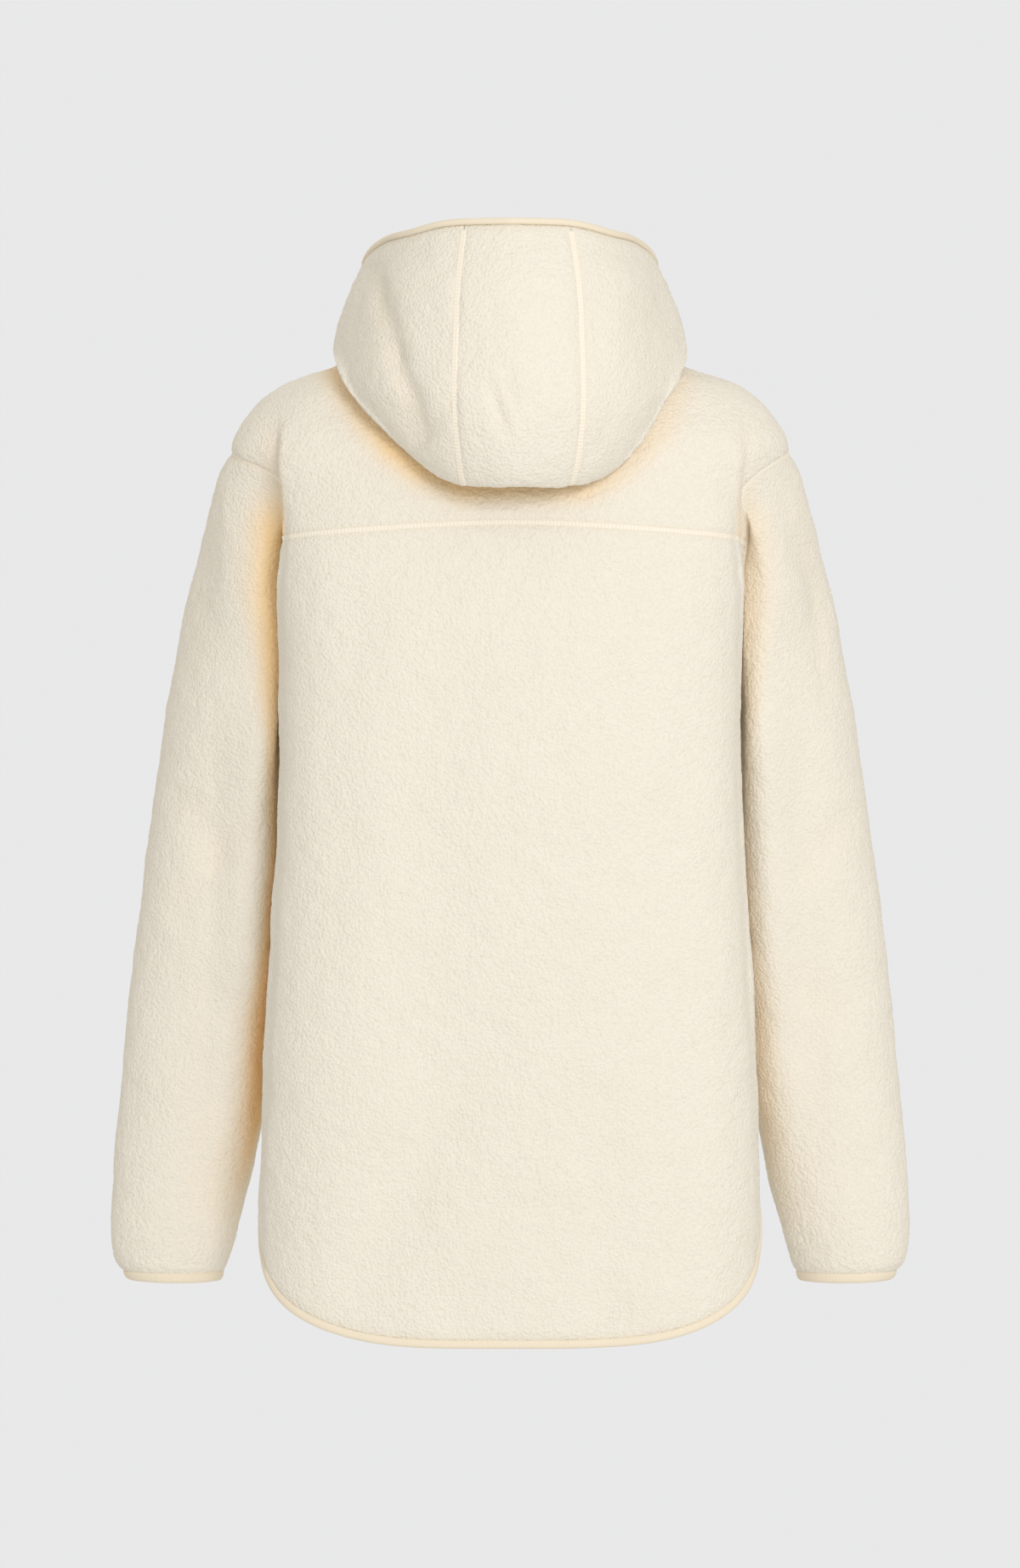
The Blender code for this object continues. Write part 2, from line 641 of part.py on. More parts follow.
def combined(name, base, others, material, collection):
    """Join or cut boxes with Boolean modifiers, round the edges a little and keep the mesh."""
    for operation, other in others:
        change = base.modifiers.new(operation.lower(), "BOOLEAN")
        change.operation = operation
        change.object = other
    rounding = base.modifiers.new("rounding", "BEVEL")
    rounding.width = METAL_ROUND
    rounding.segments = 1
    rounding.limit_method = "ANGLE"
    shaped = base.evaluated_get(bpy.context.evaluated_depsgraph_get())
    mesh = bpy.data.meshes.new_from_object(shaped)
    mesh.name = name
    mesh.materials.clear()
    mesh.materials.append(material)
    for used in [base] + [other for _, other in others]:
        bpy.data.objects.remove(used)
    thing = bpy.data.objects.new(name, mesh)
    collection.objects.link(thing)
    return thing


# ---------------------------------------------------------------- materials

def add_material(name, color, roughness, metallic=0.0):
    """A Principled BSDF material."""
    material = bpy.data.materials.new(name)
    material.use_nodes = True
    shader = material.node_tree.nodes["Principled BSDF"]
    shader.inputs["Base Color"].default_value = (*color, 1.0)
    shader.inputs["Roughness"].default_value = roughness
    shader.inputs["Metallic"].default_value = metallic
    return material


# ---------------------------------------------------------------- the jacket

class Jacket:
    """Grids, rim directions and materials that the pieces share."""

    def __init__(self, collection):
        self.collection = collection
        self.body = {"back_panel": back_panel_grid(), "back_yoke": yoke_grid(),
                     "front_left": front_grid()}
        self.outer = {}
        self.rims = {}
        for name, grid in self.body.items():
            self.outer[name] = body_point(grid[..., 0], grid[..., 1])
            self.rims[name] = body_normal(grid[..., 0], grid[..., 1])
        self.sleeve = sleeve_grid()
        across = np.roll(self.sleeve, -1, axis=1) - np.roll(self.sleeve, 1, axis=1)
        down = np.gradient(self.sleeve, axis=0)
        self.sleeve_rims = unit(np.cross(across, down))
        self.join_armhole()
        self.join_neck()

    def join_armhole(self):
        """Give the sleeve and the body one rim direction along the armhole, half way."""
        loop = armhole_loop()
        shared = mitre(body_normal(loop[:, 0], loop[:, 1]), self.sleeve_rims[0])
        self.sleeve_rims[0] = shared
        front = shared[:ARM_FRONT_ROWS + 1]
        back = shared[ARM_FRONT_ROWS:ARM_FRONT_ROWS + ARM_BACK_ROWS + 1]
        yoke = np.concatenate([shared[ARM_FRONT_ROWS + ARM_BACK_ROWS:], shared[:1]])
        self.rims["front_left"][SIDE_ROWS:SIDE_ROWS + ARM_FRONT_ROWS + 1, 0] = front[::-1]
        self.rims["back_panel"][SIDE_ROWS:, 0] = back
        self.rims["back_panel"][SIDE_ROWS:, -1] = mirrored(back)
        self.rims["back_yoke"][:ARM_YOKE_ROWS + 1, 0] = yoke
        self.rims["back_yoke"][:ARM_YOKE_ROWS + 1, -1] = mirrored(yoke)

    def join_neck(self):
        """Give the hood and the body one rim direction along the neck seam, half way."""
        angles = neck_loop()
        places = np.linspace(0, len(HOOD_PLACES) - 1, HOOD_ROWS + 1)
        self.hood = hood_point(angles, places)
        self.hood_rims = hood_normal(angles, places)
        body = body_normal(angles, neck_level(angles))
        shared = mitre(body, self.hood_rims[0])
        self.hood_rims[0] = shared
        front = NECK_FRONT_COLUMNS
        self.rims["front_left"][-1] = shared[:front + 1][::-1]
        self.rims["back_yoke"][-1] = shared[front:-front]

    def add_body(self, fleece):
        """Back panel, yoke and the two fronts."""
        edges = ("bottom", "top", "left", "right")
        for name in ("back_panel", "back_yoke"):
            add_wall(name, self.outer[name], self.rims[name], edges, False, fleece,
                     self.collection)
        front = self.outer["front_left"]
        rims = self.rims["front_left"]
        sides = ("bottom", "top", "left")
        add_wall("front_left", front, rims, sides, False, fleece, self.collection)
        add_wall("front_right", mirrored(front), mirrored(rims), sides, False, fleece,
                 self.collection)

    def add_sleeves(self, fleece, binding):
        """Both sleeves and the bindings of their cuffs."""
        cuff = self.sleeve[-1]
        rims = self.sleeve_rims[-1]
        aim = self.sleeve[-1] - self.sleeve[-2]
        for side, place in (("left", np.asarray), ("right", mirrored)):
            add_wall("sleeve_" + side, place(self.sleeve), place(self.sleeve_rims),
                     ("bottom", "top"), True, fleece, self.collection)
            add_bar("binding_cuff_" + side, place(cuff), place(rims), place(aim), True,
                    binding, self.collection)

    def add_hood(self, fleece, binding):
        """The three hood panels and the binding of the face edge."""
        first = NECK_FRONT_COLUMNS + NECK_BACK_COLUMNS[0]
        last = first + NECK_BACK_COLUMNS[1]
        cuts = {"hood_left": (0, first), "hood_centre": (first, last),
                "hood_right": (last, self.hood.shape[1] - 1)}
        seams = {"hood_left": ("right",), "hood_centre": ("left", "right"),
                 "hood_right": ("left",)}
        for name, (start, end) in cuts.items():
            part = slice(start, end + 1)
            add_wall(name, self.hood[:, part], self.hood_rims[:, part],
                     ("bottom", "top") + seams[name], False, fleece, self.collection)
        add_bar("binding_hood", self.hood[-1], self.hood_rims[-1],
                self.hood[-1] - self.hood[-2], False, binding, self.collection)

    def add_hem_binding(self, binding):
        """Binding of the whole hem, from one side of the zip round to the other."""
        front = self.outer["front_left"][0]
        back = self.outer["back_panel"][0]
        front_rims = self.rims["front_left"][0]
        back_rims = self.rims["back_panel"][0]
        line = np.concatenate([front[:0:-1], back, mirrored(front)[1:]])
        normals = np.concatenate([front_rims[:0:-1], back_rims, mirrored(front_rims)[1:]])
        aim = np.array([0.0, 0.0, -1.0]) + 0 * line
        add_bar("binding_hem", line, normals, aim, False, binding, self.collection)

    def zip_lines(self):
        """Left fleece edge beside the zip, the next line of points, and the rims there."""
        front = self.outer["front_left"]
        edge = np.concatenate([front[:, -1], self.hood[1:, 0]])
        beside = np.concatenate([front[:, -2], self.hood[1:, 1]])
        rims = np.concatenate([self.rims["front_left"][:, -1], self.hood_rims[1:, 0]])
        rims[:, 0] = 0.0
        lines = [edge, beside, unit(rims)]
        for line in lines:
            line[0] += (line[1] - line[0]) * TAPE_END
            line[-1] += (line[-2] - line[-1]) * TAPE_END
        return lines

    def add_zip(self, tape, teeth):
        """Two tapes behind the fronts, with the chain between them, closed up to the slider."""
        edge, beside, rims = self.zip_lines()

        def line_at(x):
            share = (x - edge[:, :1]) / (beside[:, :1] - edge[:, :1])
            return edge + (beside - edge) * share

        depth = FLEECE + TAPE_DEPTH
        for side, place in (("left", np.asarray), ("right", mirrored)):
            add_strip("zip_tape_" + side, place(line_at(TAPE_INNER)),
                      place(line_at(TAPE_OUTER)), rims, depth, TAPE_THICK, tape,
                      self.collection)
        chain_depth = depth + (TAPE_THICK - CHAIN_THICK) / 2
        chain = line_at(CHAIN_HALF)
        middle = chain * np.array([0.0, 1.0, 1.0]) - rims * (chain_depth + CHAIN_THICK / 2)
        steps = np.linalg.norm(np.diff(middle, axis=0), axis=1)
        length = np.concatenate([[0], np.cumsum(steps)])
        slider_top = length[-1] - SLIDER_DOWN
        stop = slider_top - WEDGE_TALL - SLIDER_RUN
        chain = shortened(chain, length, stop)
        add_strip("zip_chain", chain, mirrored(chain), shortened(rims, length, stop),
                  chain_depth, CHAIN_THICK, teeth, self.collection)
        top = shortened(middle, length, slider_top)[-1]
        bottom = shortened(middle, length, slider_top - SLIDER_TALL)[-1]
        return top, bottom

    def add_slider(self, ends, metal):
        """The slider on the chain: two plates, the wedge and the bridge, and its pull tab."""
        top, bottom = ends
        up = unit(top - bottom)
        place = Matrix.Translation((top + bottom) / 2)
        place = place @ Matrix.Rotation(-math.atan2(up[1], up[2]), 4, "X")
        inner = CHAIN_THICK / 2 + SLIDER_RUN
        face = inner + SLIDER_PLATE
        tall = SLIDER_TALL / 2
        eye_tall = BRIDGE_TALL / 2 - BRIDGE_LEG
        eye_out = BRIDGE_OUT - BRIDGE_LEG
        front = block((-SLIDER_HALF, -face, -tall), (SLIDER_HALF, -inner, tall))
        back = block((-SLIDER_HALF, inner, -tall), (SLIDER_HALF, face, tall))
        wedge = block((-WEDGE_HALF, -inner - OVERLAP, tall - WEDGE_TALL),
                      (WEDGE_HALF, inner + OVERLAP, tall - OVERLAP))
        bridge = block((-BRIDGE_HALF, -face - BRIDGE_OUT, -BRIDGE_TALL / 2),
                       (BRIDGE_HALF, -face + OVERLAP, BRIDGE_TALL / 2))
        eye = block((-SLIDER_HALF, -face - eye_out, -eye_tall),
                    (SLIDER_HALF, -face + 2 * OVERLAP, eye_tall))
        joined = (("DIFFERENCE", eye), ("UNION", front), ("UNION", back), ("UNION", wedge))
        slider = combined("zip_slider", bridge, joined, metal, self.collection)
        slider.data.transform(place)
        tab = block((-TAB_HALF, -TAB_THICK / 2, -TAB_LONG), (TAB_HALF, TAB_THICK / 2, TAB_BAR))
        hole = block((-TAB_EYE_HALF, -TAB_THICK, -TAB_EYE_LONG),
                     (TAB_EYE_HALF, TAB_THICK, -TAB_BAR))
        pull = combined("zip_pull", tab, (("DIFFERENCE", hole),), metal, self.collection)
        pull.location = place @ Vector((0.0, -face - eye_out / 2, 0.0))


def build():
    """Clear the scene and build every piece."""
    for thing in list(bpy.data.objects):
        bpy.data.objects.remove(thing)
    collection = bpy.data.collections.new("fleece_jacket")
    bpy.context.scene.collection.children.link(collection)
    fleece = add_material("fleece", (0.86, 0.80, 0.67), 0.95)
    binding = add_material("binding", (0.90, 0.82, 0.66), 0.75)
    tape = add_material("zip_tape", (0.84, 0.77, 0.62), 0.85)
    teeth = add_material("zip_teeth", (0.82, 0.76, 0.62), 0.45)
    metal = add_material("zip_metal", (0.78, 0.72, 0.58), 0.35)
    jacket = Jacket(collection)
    jacket.add_body(fleece)
    jacket.add_sleeves(fleece, binding)
    jacket.add_hood(fleece, binding)
    jacket.add_hem_binding(binding)
    slider_ends = jacket.add_zip(tape, teeth)
    jacket.add_slider(slider_ends, metal)


build()
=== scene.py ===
# %% [markdown]
# # A long high-pile fleece jacket with its hood down
# The jacket is cream pile fleece, cut as a back panel, a back yoke, two fronts, two sleeves
# and a three-panel hood, with a smooth elastic binding on every raw edge and flat seams.
# It is filled out as if worn.  Units are metres, +Z is up, the front faces -Y and the
# wearer's left is +X.  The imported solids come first, because every piece is placed by them.

# %% The frame
import math

import bpy
import numpy as np
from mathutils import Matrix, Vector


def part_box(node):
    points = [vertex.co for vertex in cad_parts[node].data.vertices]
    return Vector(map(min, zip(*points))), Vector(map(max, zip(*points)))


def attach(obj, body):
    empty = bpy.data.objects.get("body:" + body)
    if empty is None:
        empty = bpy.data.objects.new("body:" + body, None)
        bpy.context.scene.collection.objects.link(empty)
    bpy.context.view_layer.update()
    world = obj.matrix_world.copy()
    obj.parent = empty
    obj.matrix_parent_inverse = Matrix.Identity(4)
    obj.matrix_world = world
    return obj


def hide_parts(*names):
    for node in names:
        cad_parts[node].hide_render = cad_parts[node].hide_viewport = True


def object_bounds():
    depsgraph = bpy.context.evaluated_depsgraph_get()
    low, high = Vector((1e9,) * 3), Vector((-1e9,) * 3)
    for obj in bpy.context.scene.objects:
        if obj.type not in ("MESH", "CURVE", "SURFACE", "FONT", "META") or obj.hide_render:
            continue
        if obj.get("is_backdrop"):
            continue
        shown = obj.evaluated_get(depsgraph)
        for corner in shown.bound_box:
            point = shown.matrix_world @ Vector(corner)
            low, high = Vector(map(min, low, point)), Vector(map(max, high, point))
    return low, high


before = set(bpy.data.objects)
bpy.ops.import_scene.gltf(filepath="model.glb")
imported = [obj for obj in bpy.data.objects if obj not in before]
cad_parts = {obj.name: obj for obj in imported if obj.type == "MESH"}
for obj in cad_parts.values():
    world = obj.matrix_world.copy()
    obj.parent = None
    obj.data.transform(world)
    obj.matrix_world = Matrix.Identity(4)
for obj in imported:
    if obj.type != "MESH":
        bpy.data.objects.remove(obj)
cad_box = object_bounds()

# %% [markdown]
# ## The cut, as tables
# A tailor keeps a pattern as measures at given heights, so the shape is kept the same way:
# one table of level sections for the body, one of sections for a sleeve and one of profiles
# for the hood.  They could be sculpted instead, but tables keep both sides alike and let each
# seam be worked out once for the two pieces that share it.

# %% Measures
FLEECE = 0.0042                # thickness of the cloth
SIDE_ANGLE = 90.0              # side and shoulder seams, in degrees from centre back
HEM_SIDE_Z, HEM_BACK_Z, HEM_FRONT_Z = -0.655, -0.750, -0.715
HEM_FLAT, HEM_ROUND = 6.2, 1.5
UNDERARM_Z, SHOULDER_Z = -0.268, -0.066
YOKE_SIDE_Z, YOKE_RISE = -0.140, 0.014
NECK_BACK_Z, NECK_SIDE_Z, NECK_FRONT_Z = -0.004, 0.019, -0.056

BODY_COLUMNS = ("z", "half_width", "side_y", "back_y", "front_y", "back_square", "front_square")
BODY_SECTIONS = (
    (-0.800, 0.1965, 0.018, 0.112, -0.112, 2.7, 2.3),
    (-0.700, 0.1960, 0.020, 0.118, -0.116, 2.7, 2.3),
    (-0.600, 0.1935, 0.024, 0.123, -0.119, 2.7, 2.2),
    (-0.480, 0.1880, 0.027, 0.128, -0.121, 2.7, 2.1),
    (-0.370, 0.1810, 0.029, 0.132, -0.122, 2.7, 2.0),
    (-0.270, 0.1790, 0.029, 0.135, -0.122, 2.7, 2.0),
    (-0.180, 0.1830, 0.027, 0.134, -0.119, 2.7, 2.1),
    (-0.110, 0.2000, 0.021, 0.127, -0.113, 2.6, 2.2),
    (-0.066, 0.2200, 0.017, 0.117, -0.106, 2.5, 2.2),
    (-0.038, 0.2080, 0.014, 0.105, -0.097, 2.4, 2.2),
    (-0.016, 0.1830, 0.011, 0.092, -0.086, 2.3, 2.1),
    (0.000, 0.1400, 0.008, 0.076, -0.074, 2.2, 2.1),
    (0.012, 0.1100, 0.005, 0.064, -0.064, 2.1, 2.0),
    (0.024, 0.0840, 0.002, 0.053, -0.054, 2.0, 2.0),
)
ARMHOLE_COLUMNS = ("z", "angle")
ARMHOLE_ROWS = (
    (UNDERARM_Z, 100.0), (-0.250, 96.5), (-0.200, 93.0), (YOKE_SIDE_Z, 86.0),
    (-0.106, 73.5), (-0.080, 77.0), (SHOULDER_Z, 90.0), (-0.076, 101.0),
    (-0.106, 110.0), (-0.152, 116.0), (-0.205, 115.0), (-0.250, 108.0),
)
ARMHOLE_YOKE_ROW, ARMHOLE_SHOULDER_ROW = 3, 6
SLEEVE_COLUMNS = ("outer_x", "outer_z", "inner_x", "inner_z", "y_mid", "half_depth", "scoop")
SLEEVE_SECTIONS = (
    (0.2200, -0.0660, 0.1780, -0.2680, -0.008, 0.056, 0.030),
    (0.2400, -0.1130, 0.1805, -0.2840, -0.023, 0.061, 0.020),
    (0.2530, -0.1700, 0.1800, -0.3060, -0.037, 0.063, 0.010),
    (0.2665, -0.2350, 0.1790, -0.3380, -0.047, 0.064, 0.004),
    (0.2788, -0.3100, 0.1780, -0.3780, -0.054, 0.062, 0.001),
    (0.2900, -0.3900, 0.1790, -0.4300, -0.056, 0.059, 0.000),
    (0.2996, -0.4700, 0.1835, -0.4920, -0.056, 0.054, 0.000),
    (0.3080, -0.5500, 0.1910, -0.5600, -0.054, 0.048, 0.000),
    (0.3140, -0.6200, 0.2025, -0.6240, -0.051, 0.043, 0.000),
    (0.3165, -0.6700, 0.2150, -0.6720, -0.048, 0.039, 0.000),
    (0.3135, -0.7000, 0.2230, -0.7010, -0.046, 0.035, 0.000),
    (0.3060, -0.7125, 0.2275, -0.7130, -0.046, 0.032, 0.000),
)
HOOD_PLACES = ("neck", "roll", "drop", "fold", "belly", "upper", "edge")
HOOD_COLUMNS = ("angle", "roll_out", "roll_z", "drop_out", "drop_z", "fold_out", "fold_z",
                "belly_out", "belly_z", "upper_out", "upper_z", "edge_out", "edge_z")
HOOD_SECTIONS = (
    (0.0, 0.022, 0.044, 0.056, -0.012, 0.086, -0.097, 0.118, -0.047, 0.108, 0.040, 0.086, 0.096),
    (30.0, 0.020, 0.044, 0.047, -0.004, 0.066, -0.086, 0.098, -0.040, 0.091, 0.040, 0.070, 0.096),
    (58.0, 0.017, 0.040, 0.036, 0.006, 0.047, -0.040, 0.067, -0.012, 0.054, 0.044, 0.037, 0.090),
    (80.0, 0.013, 0.033, 0.027, 0.020, 0.037, 0.008, 0.046, 0.020, 0.037, 0.052, 0.024, 0.080),
    (100.0, 0.009, 0.029, 0.019, 0.024, 0.029, 0.022, 0.033, 0.036, 0.028, 0.056, 0.019, 0.073),
    (128.0, 0.004, 0.004, 0.009, 0.010, 0.015, 0.020, 0.019, 0.034, 0.019, 0.048, 0.015, 0.060),
    (155.0, 0.001, -0.026, 0.003, -0.012, 0.005, 0.002, 0.008, 0.017, 0.010, 0.032, 0.011, 0.046),
    (180.0, 0.000, -0.042, 0.001, -0.028, 0.002, -0.013, 0.004, 0.003, 0.006, 0.019, 0.008, 0.035),
)
HOOD_TURN, GUSSET_ANGLE, HOOD_LONG = -3.0, 15.0, 0.42
HOOD_CLEAR, HOOD_LAYERS, HOOD_FOLD_START = 0.0042, 0.0125, 2.6
HOOD_SAG, HOOD_LIFT, HOOD_CORNER = 0.006, 0.011, 0.0045
ZIP_HALF_GAP = 0.0075
print(len(BODY_SECTIONS), "body sections,", len(SLEEVE_SECTIONS), "sleeve sections")


# %% [markdown]
# ## Reading between the rows
# Cloth bends smoothly, so a measure between two rows of a table is read off a cubic curve
# that passes through the rows.  Straight lines would leave a crease at each row.

# %% Curves through a table
def smooth_column(places, knots, values):
    """A cubic through the knots: at a share t of a cell it is a(2t3-3t2+1) + b(3t2-2t3)
    plus the two end slopes times (t3-2t2+t) and (t3-t2), slopes taken from neighbours."""
    knots = np.asarray(knots, float)
    values = np.asarray(values, float)
    slopes = np.gradient(values, knots)
    places = np.clip(places, knots[0], knots[-1])
    cell = np.clip(np.searchsorted(knots, places, side="right") - 1, 0, len(knots) - 2)
    width = knots[cell + 1] - knots[cell]
    t = (places - knots[cell]) / width
    return (values[cell] * (2 * t**3 - 3 * t**2 + 1)
            + slopes[cell] * width * (t**3 - 2 * t**2 + t)
            + values[cell + 1] * (3 * t**2 - 2 * t**3)
            + slopes[cell + 1] * width * (t**3 - t**2))


def smooth_step(values, low, high):
    """3t2 - 2t3 of where each value lies between two limits."""
    share = np.clip((values - low) / (high - low), 0, 1)
    return share * share * (3 - 2 * share)


def between(values, rise_from, rise_to, fall_from, fall_to):
    """A smooth_step up between the first two limits times one down between the last two."""
    return smooth_step(values, rise_from, rise_to) * (1 - smooth_step(values, fall_from, fall_to))


def table(columns, rows):
    """The rows of a table as one array for each named column."""
    return dict(zip(columns, np.array(rows, float).T))


def straight_column(places, rows):
    """The second number of a table of pairs, read in straight lines between its rows."""
    return np.interp(places, *np.array(rows).T)


def lengths_along(line):
    """Distance of each point of a line from its start: the sum of the steps so far."""
    return np.concatenate([[0], np.cumsum(np.linalg.norm(np.diff(line, axis=0), axis=1))])


BODY = table(BODY_COLUMNS, BODY_SECTIONS)
BODY_LEVELS = np.arange(len(BODY_SECTIONS), dtype=float)
SLEEVE = table(SLEEVE_COLUMNS, SLEEVE_SECTIONS)
SLEEVE_LEVELS = np.arange(len(SLEEVE_SECTIONS), dtype=float)
HOOD = table(HOOD_COLUMNS, HOOD_SECTIONS)
HOOD_TOP = len(HOOD_PLACES) - 1
print("the body's table runs from", BODY["z"].min(), "to", BODY["z"].max(), "m")


# %% [markdown]
# ## The body's surface
# A filled-out jacket is close to a squared oval at each height.  A superellipse gives that
# with one number for how square it is, so the back can be flatter than the front.

# %% The body as a function of angle and level
def body_column(name, level):
    """One column of the body's table at any level."""
    return smooth_column(level, BODY_LEVELS, BODY[name])


FINE_LEVELS = np.linspace(0, BODY_LEVELS[-1], 2000)
FINE_Z = body_column("z", FINE_LEVELS)


def level_at(z):
    """The level of the body's table at a height, by looking the height up."""
    return np.interp(z, FINE_Z, FINE_LEVELS)


def body_point(angle, level):
    """Superellipse: radius = (|cos/reach|^n + |sin/half_width|^n)^(-1/n) at each angle."""
    angle, level = np.broadcast_arrays(np.asarray(angle, float), np.asarray(level, float))
    turn = np.radians(angle)
    side, along = np.sin(turn), np.cos(turn)
    side_y = body_column("side_y", level)
    back = along >= 0
    reach = np.where(back, body_column("back_y", level) - side_y,
                     side_y - body_column("front_y", level))
    power = np.where(back, body_column("back_square", level),
                     body_column("front_square", level))
    width = body_column("half_width", level)
    radius = (np.abs(along / reach)**power + np.abs(side / width)**power)**(-1 / power)
    return np.stack([radius * side, side_y + radius * along, body_column("z", level)], -1)


def unit(vectors):
    """Each vector divided by its own length."""
    return vectors / np.maximum(np.linalg.norm(vectors, axis=-1, keepdims=True), 1e-12)


def body_normal(angle, level):
    """Cross product of small steps up and across the body's surface."""
    low = np.clip(np.asarray(level) - 0.02, 0, BODY_LEVELS[-1])
    high = np.clip(np.asarray(level) + 0.02, 0, BODY_LEVELS[-1])
    across = body_point(angle + 0.5, level) - body_point(angle - 0.5, level)
    return unit(np.cross(body_point(angle, high) - body_point(angle, low), across))


print(f"chest {2 * body_column('half_width', level_at(UNDERARM_Z)):.3f} m wide")


# %% [markdown]
# ## The seams
# Each seam is a line of (angle, level) pairs on the body.  The hem dips in a round curve at
# the back and front, the yoke seam arches, and the armhole is a closed loop that runs a
# little over the shoulder, as on a dropped sleeve.

# %% Seam lines
def run(start, end, count):
    """count + 1 even steps from start to end."""
    return np.linspace(start, end, count + 1)


def hem_level(angle, middle_z, middle_angle):
    """Height = middle + rise, where rise = 1 - (1 - away^HEM_FLAT)^HEM_ROUND."""
    away = np.clip(np.abs(np.asarray(angle) - middle_angle) / 90.0, 0, 1)
    rise = 1 - (1 - away**HEM_FLAT)**HEM_ROUND
    return level_at(middle_z + (HEM_SIDE_Z - middle_z) * rise)


def neck_level(angle):
    """Sine curves from the back of the neck up to the shoulder and down to the throat."""
    away = np.abs(np.asarray(angle, float))
    back = NECK_BACK_Z + (NECK_SIDE_Z - NECK_BACK_Z) * np.sin(np.radians(away))**2
    drop = np.sin(np.radians(np.clip(away, 90, 180) - 90))**1.6
    front = NECK_SIDE_Z + (NECK_FRONT_Z - NECK_SIDE_Z) * drop
    return level_at(np.where(away <= 90, back, front))


def even_by_length(angle, level, count):
    """The same line, resampled so that its points are evenly spaced along its length."""
    length = lengths_along(body_point(angle, level))
    places = run(0, length[-1], count)
    return np.stack([np.interp(places, length, angle), np.interp(places, length, level)], -1)


def armhole_part(first_row, last_row, count):
    """A stretch of the armhole's closed curve between two rows of its table."""
    armhole = table(ARMHOLE_COLUMNS, ARMHOLE_ROWS)
    total = len(ARMHOLE_ROWS)
    wrap = np.arange(-2, total + 3)
    fine = np.linspace(first_row, last_row, 600)
    angle = smooth_column(fine, wrap, armhole["angle"][wrap % total])
    z = smooth_column(fine, wrap, armhole["z"][wrap % total])
    return even_by_length(angle, level_at(z), count)


CELL = 0.00225    # size of a cell of the cloth's outer face
COARSE = 4                                      # the inner face has every fourth point


def cells(length):
    """How many cells a length takes, rounded to a multiple of COARSE."""
    return COARSE * max(1, round(length / CELL / COARSE))


ARM_BACK_CELLS, ARM_YOKE_CELLS, ARM_FRONT_CELLS = cells(0.13), cells(0.12), cells(0.25)
SIDE_CELLS, SHOULDER_CELLS = cells(0.39), cells(0.16)
ACROSS_CELLS, NECK_FRONT_CELLS = cells(0.50), cells(0.24)
ARM_BACK = armhole_part(0, ARMHOLE_YOKE_ROW, ARM_BACK_CELLS)
ARM_YOKE = armhole_part(ARMHOLE_YOKE_ROW, ARMHOLE_SHOULDER_ROW, ARM_YOKE_CELLS)
ARM_FRONT = armhole_part(ARMHOLE_SHOULDER_ROW, len(ARMHOLE_ROWS), ARM_FRONT_CELLS)
YOKE_ANGLE = ARM_BACK[-1, 0]


def side_seam():
    """From the hem straight up to the underarm."""
    z = run(HEM_SIDE_Z, UNDERARM_Z, SIDE_CELLS)
    angle = np.interp(z, [HEM_SIDE_Z, UNDERARM_Z], [SIDE_ANGLE, ARM_BACK[0, 0]])
    return np.stack([angle, level_at(z)], -1)


def shoulder_seam():
    """From the shoulder point to the neck."""
    levels = np.linspace(ARM_FRONT[0, 1], float(neck_level(SIDE_ANGLE)), 200)
    return even_by_length(np.full(200, SIDE_ANGLE), levels, SHOULDER_CELLS)


def yoke_seam():
    """Across the back from one armhole to the other, highest in the middle."""
    angles = run(YOKE_ANGLE, -YOKE_ANGLE, ACROSS_CELLS)
    arch = np.cos(np.abs(angles) / YOKE_ANGLE * math.pi / 2)
    return np.stack([angles, level_at(YOKE_SIDE_Z + YOKE_RISE * arch)], -1)


def front_edge_angle(level):
    """The angle where a front stops beside the zip."""
    reach = body_column("side_y", level) - body_column("front_y", level)
    return 180 - np.degrees(np.arctan2(ZIP_HALF_GAP, reach))


def neck_seam(angles):
    """Angles of the neck seam, each with its level."""
    return np.stack([angles, neck_level(angles)], -1)


def flipped(line):
    """The same line on the other side."""
    return line * np.array([-1.0, 1.0])


def coons(bottom, top, left, right):
    """Coons patch: the two ruled grids between opposite sides, added, less the flat grid
    between the four corners, so that all four sides are met."""
    across = np.linspace(0, 1, len(bottom))[None, :, None]
    up = np.linspace(0, 1, len(left))[:, None, None]
    ruled_up = (1 - up) * bottom[None] + up * top[None]
    ruled_across = (1 - across) * left[:, None] + across * right[:, None]
    corners = ((1 - up) * ((1 - across) * bottom[0] + across * bottom[-1])
               + up * ((1 - across) * top[0] + across * top[-1]))
    return ruled_up + ruled_across - corners


def relaxed(grid, passes, share=1.0):
    """Each inner point moves by a share of its way to the mean of its four neighbours, over
    and over, which smooths out corners such as those that a Coons patch carries in."""
    grid = grid.copy()
    for _ in range(passes):
        mean = (grid[:-2, 1:-1] + grid[2:, 1:-1] + grid[1:-1, :-2] + grid[1:-1, 2:]) / 4
        grid[1:-1, 1:-1] += share * (mean - grid[1:-1, 1:-1])
    return grid


print("armhole", ARM_BACK_CELLS + ARM_YOKE_CELLS + ARM_FRONT_CELLS, "cells round")


# %% [markdown]
# ## The body's pieces
# Four seams bound each panel.  A Coons patch fills them with an even grid, so two pieces that
# share a seam get the same points along it and leave no gap.

# %% Body pieces as grids of (angle, level)
BACK_PASSES, OTHER_PASSES = 150, 900


def back_grid():
    """Hem to yoke seam, between the two side seams and armholes."""
    angles = run(SIDE_ANGLE, -SIDE_ANGLE, ACROSS_CELLS)
    hem = np.stack([angles, hem_level(angles, HEM_BACK_Z, 0.0)], -1)
    left = np.concatenate([side_seam(), ARM_BACK[1:]])
    return relaxed(coons(hem, yoke_seam(), left, flipped(left)), BACK_PASSES)


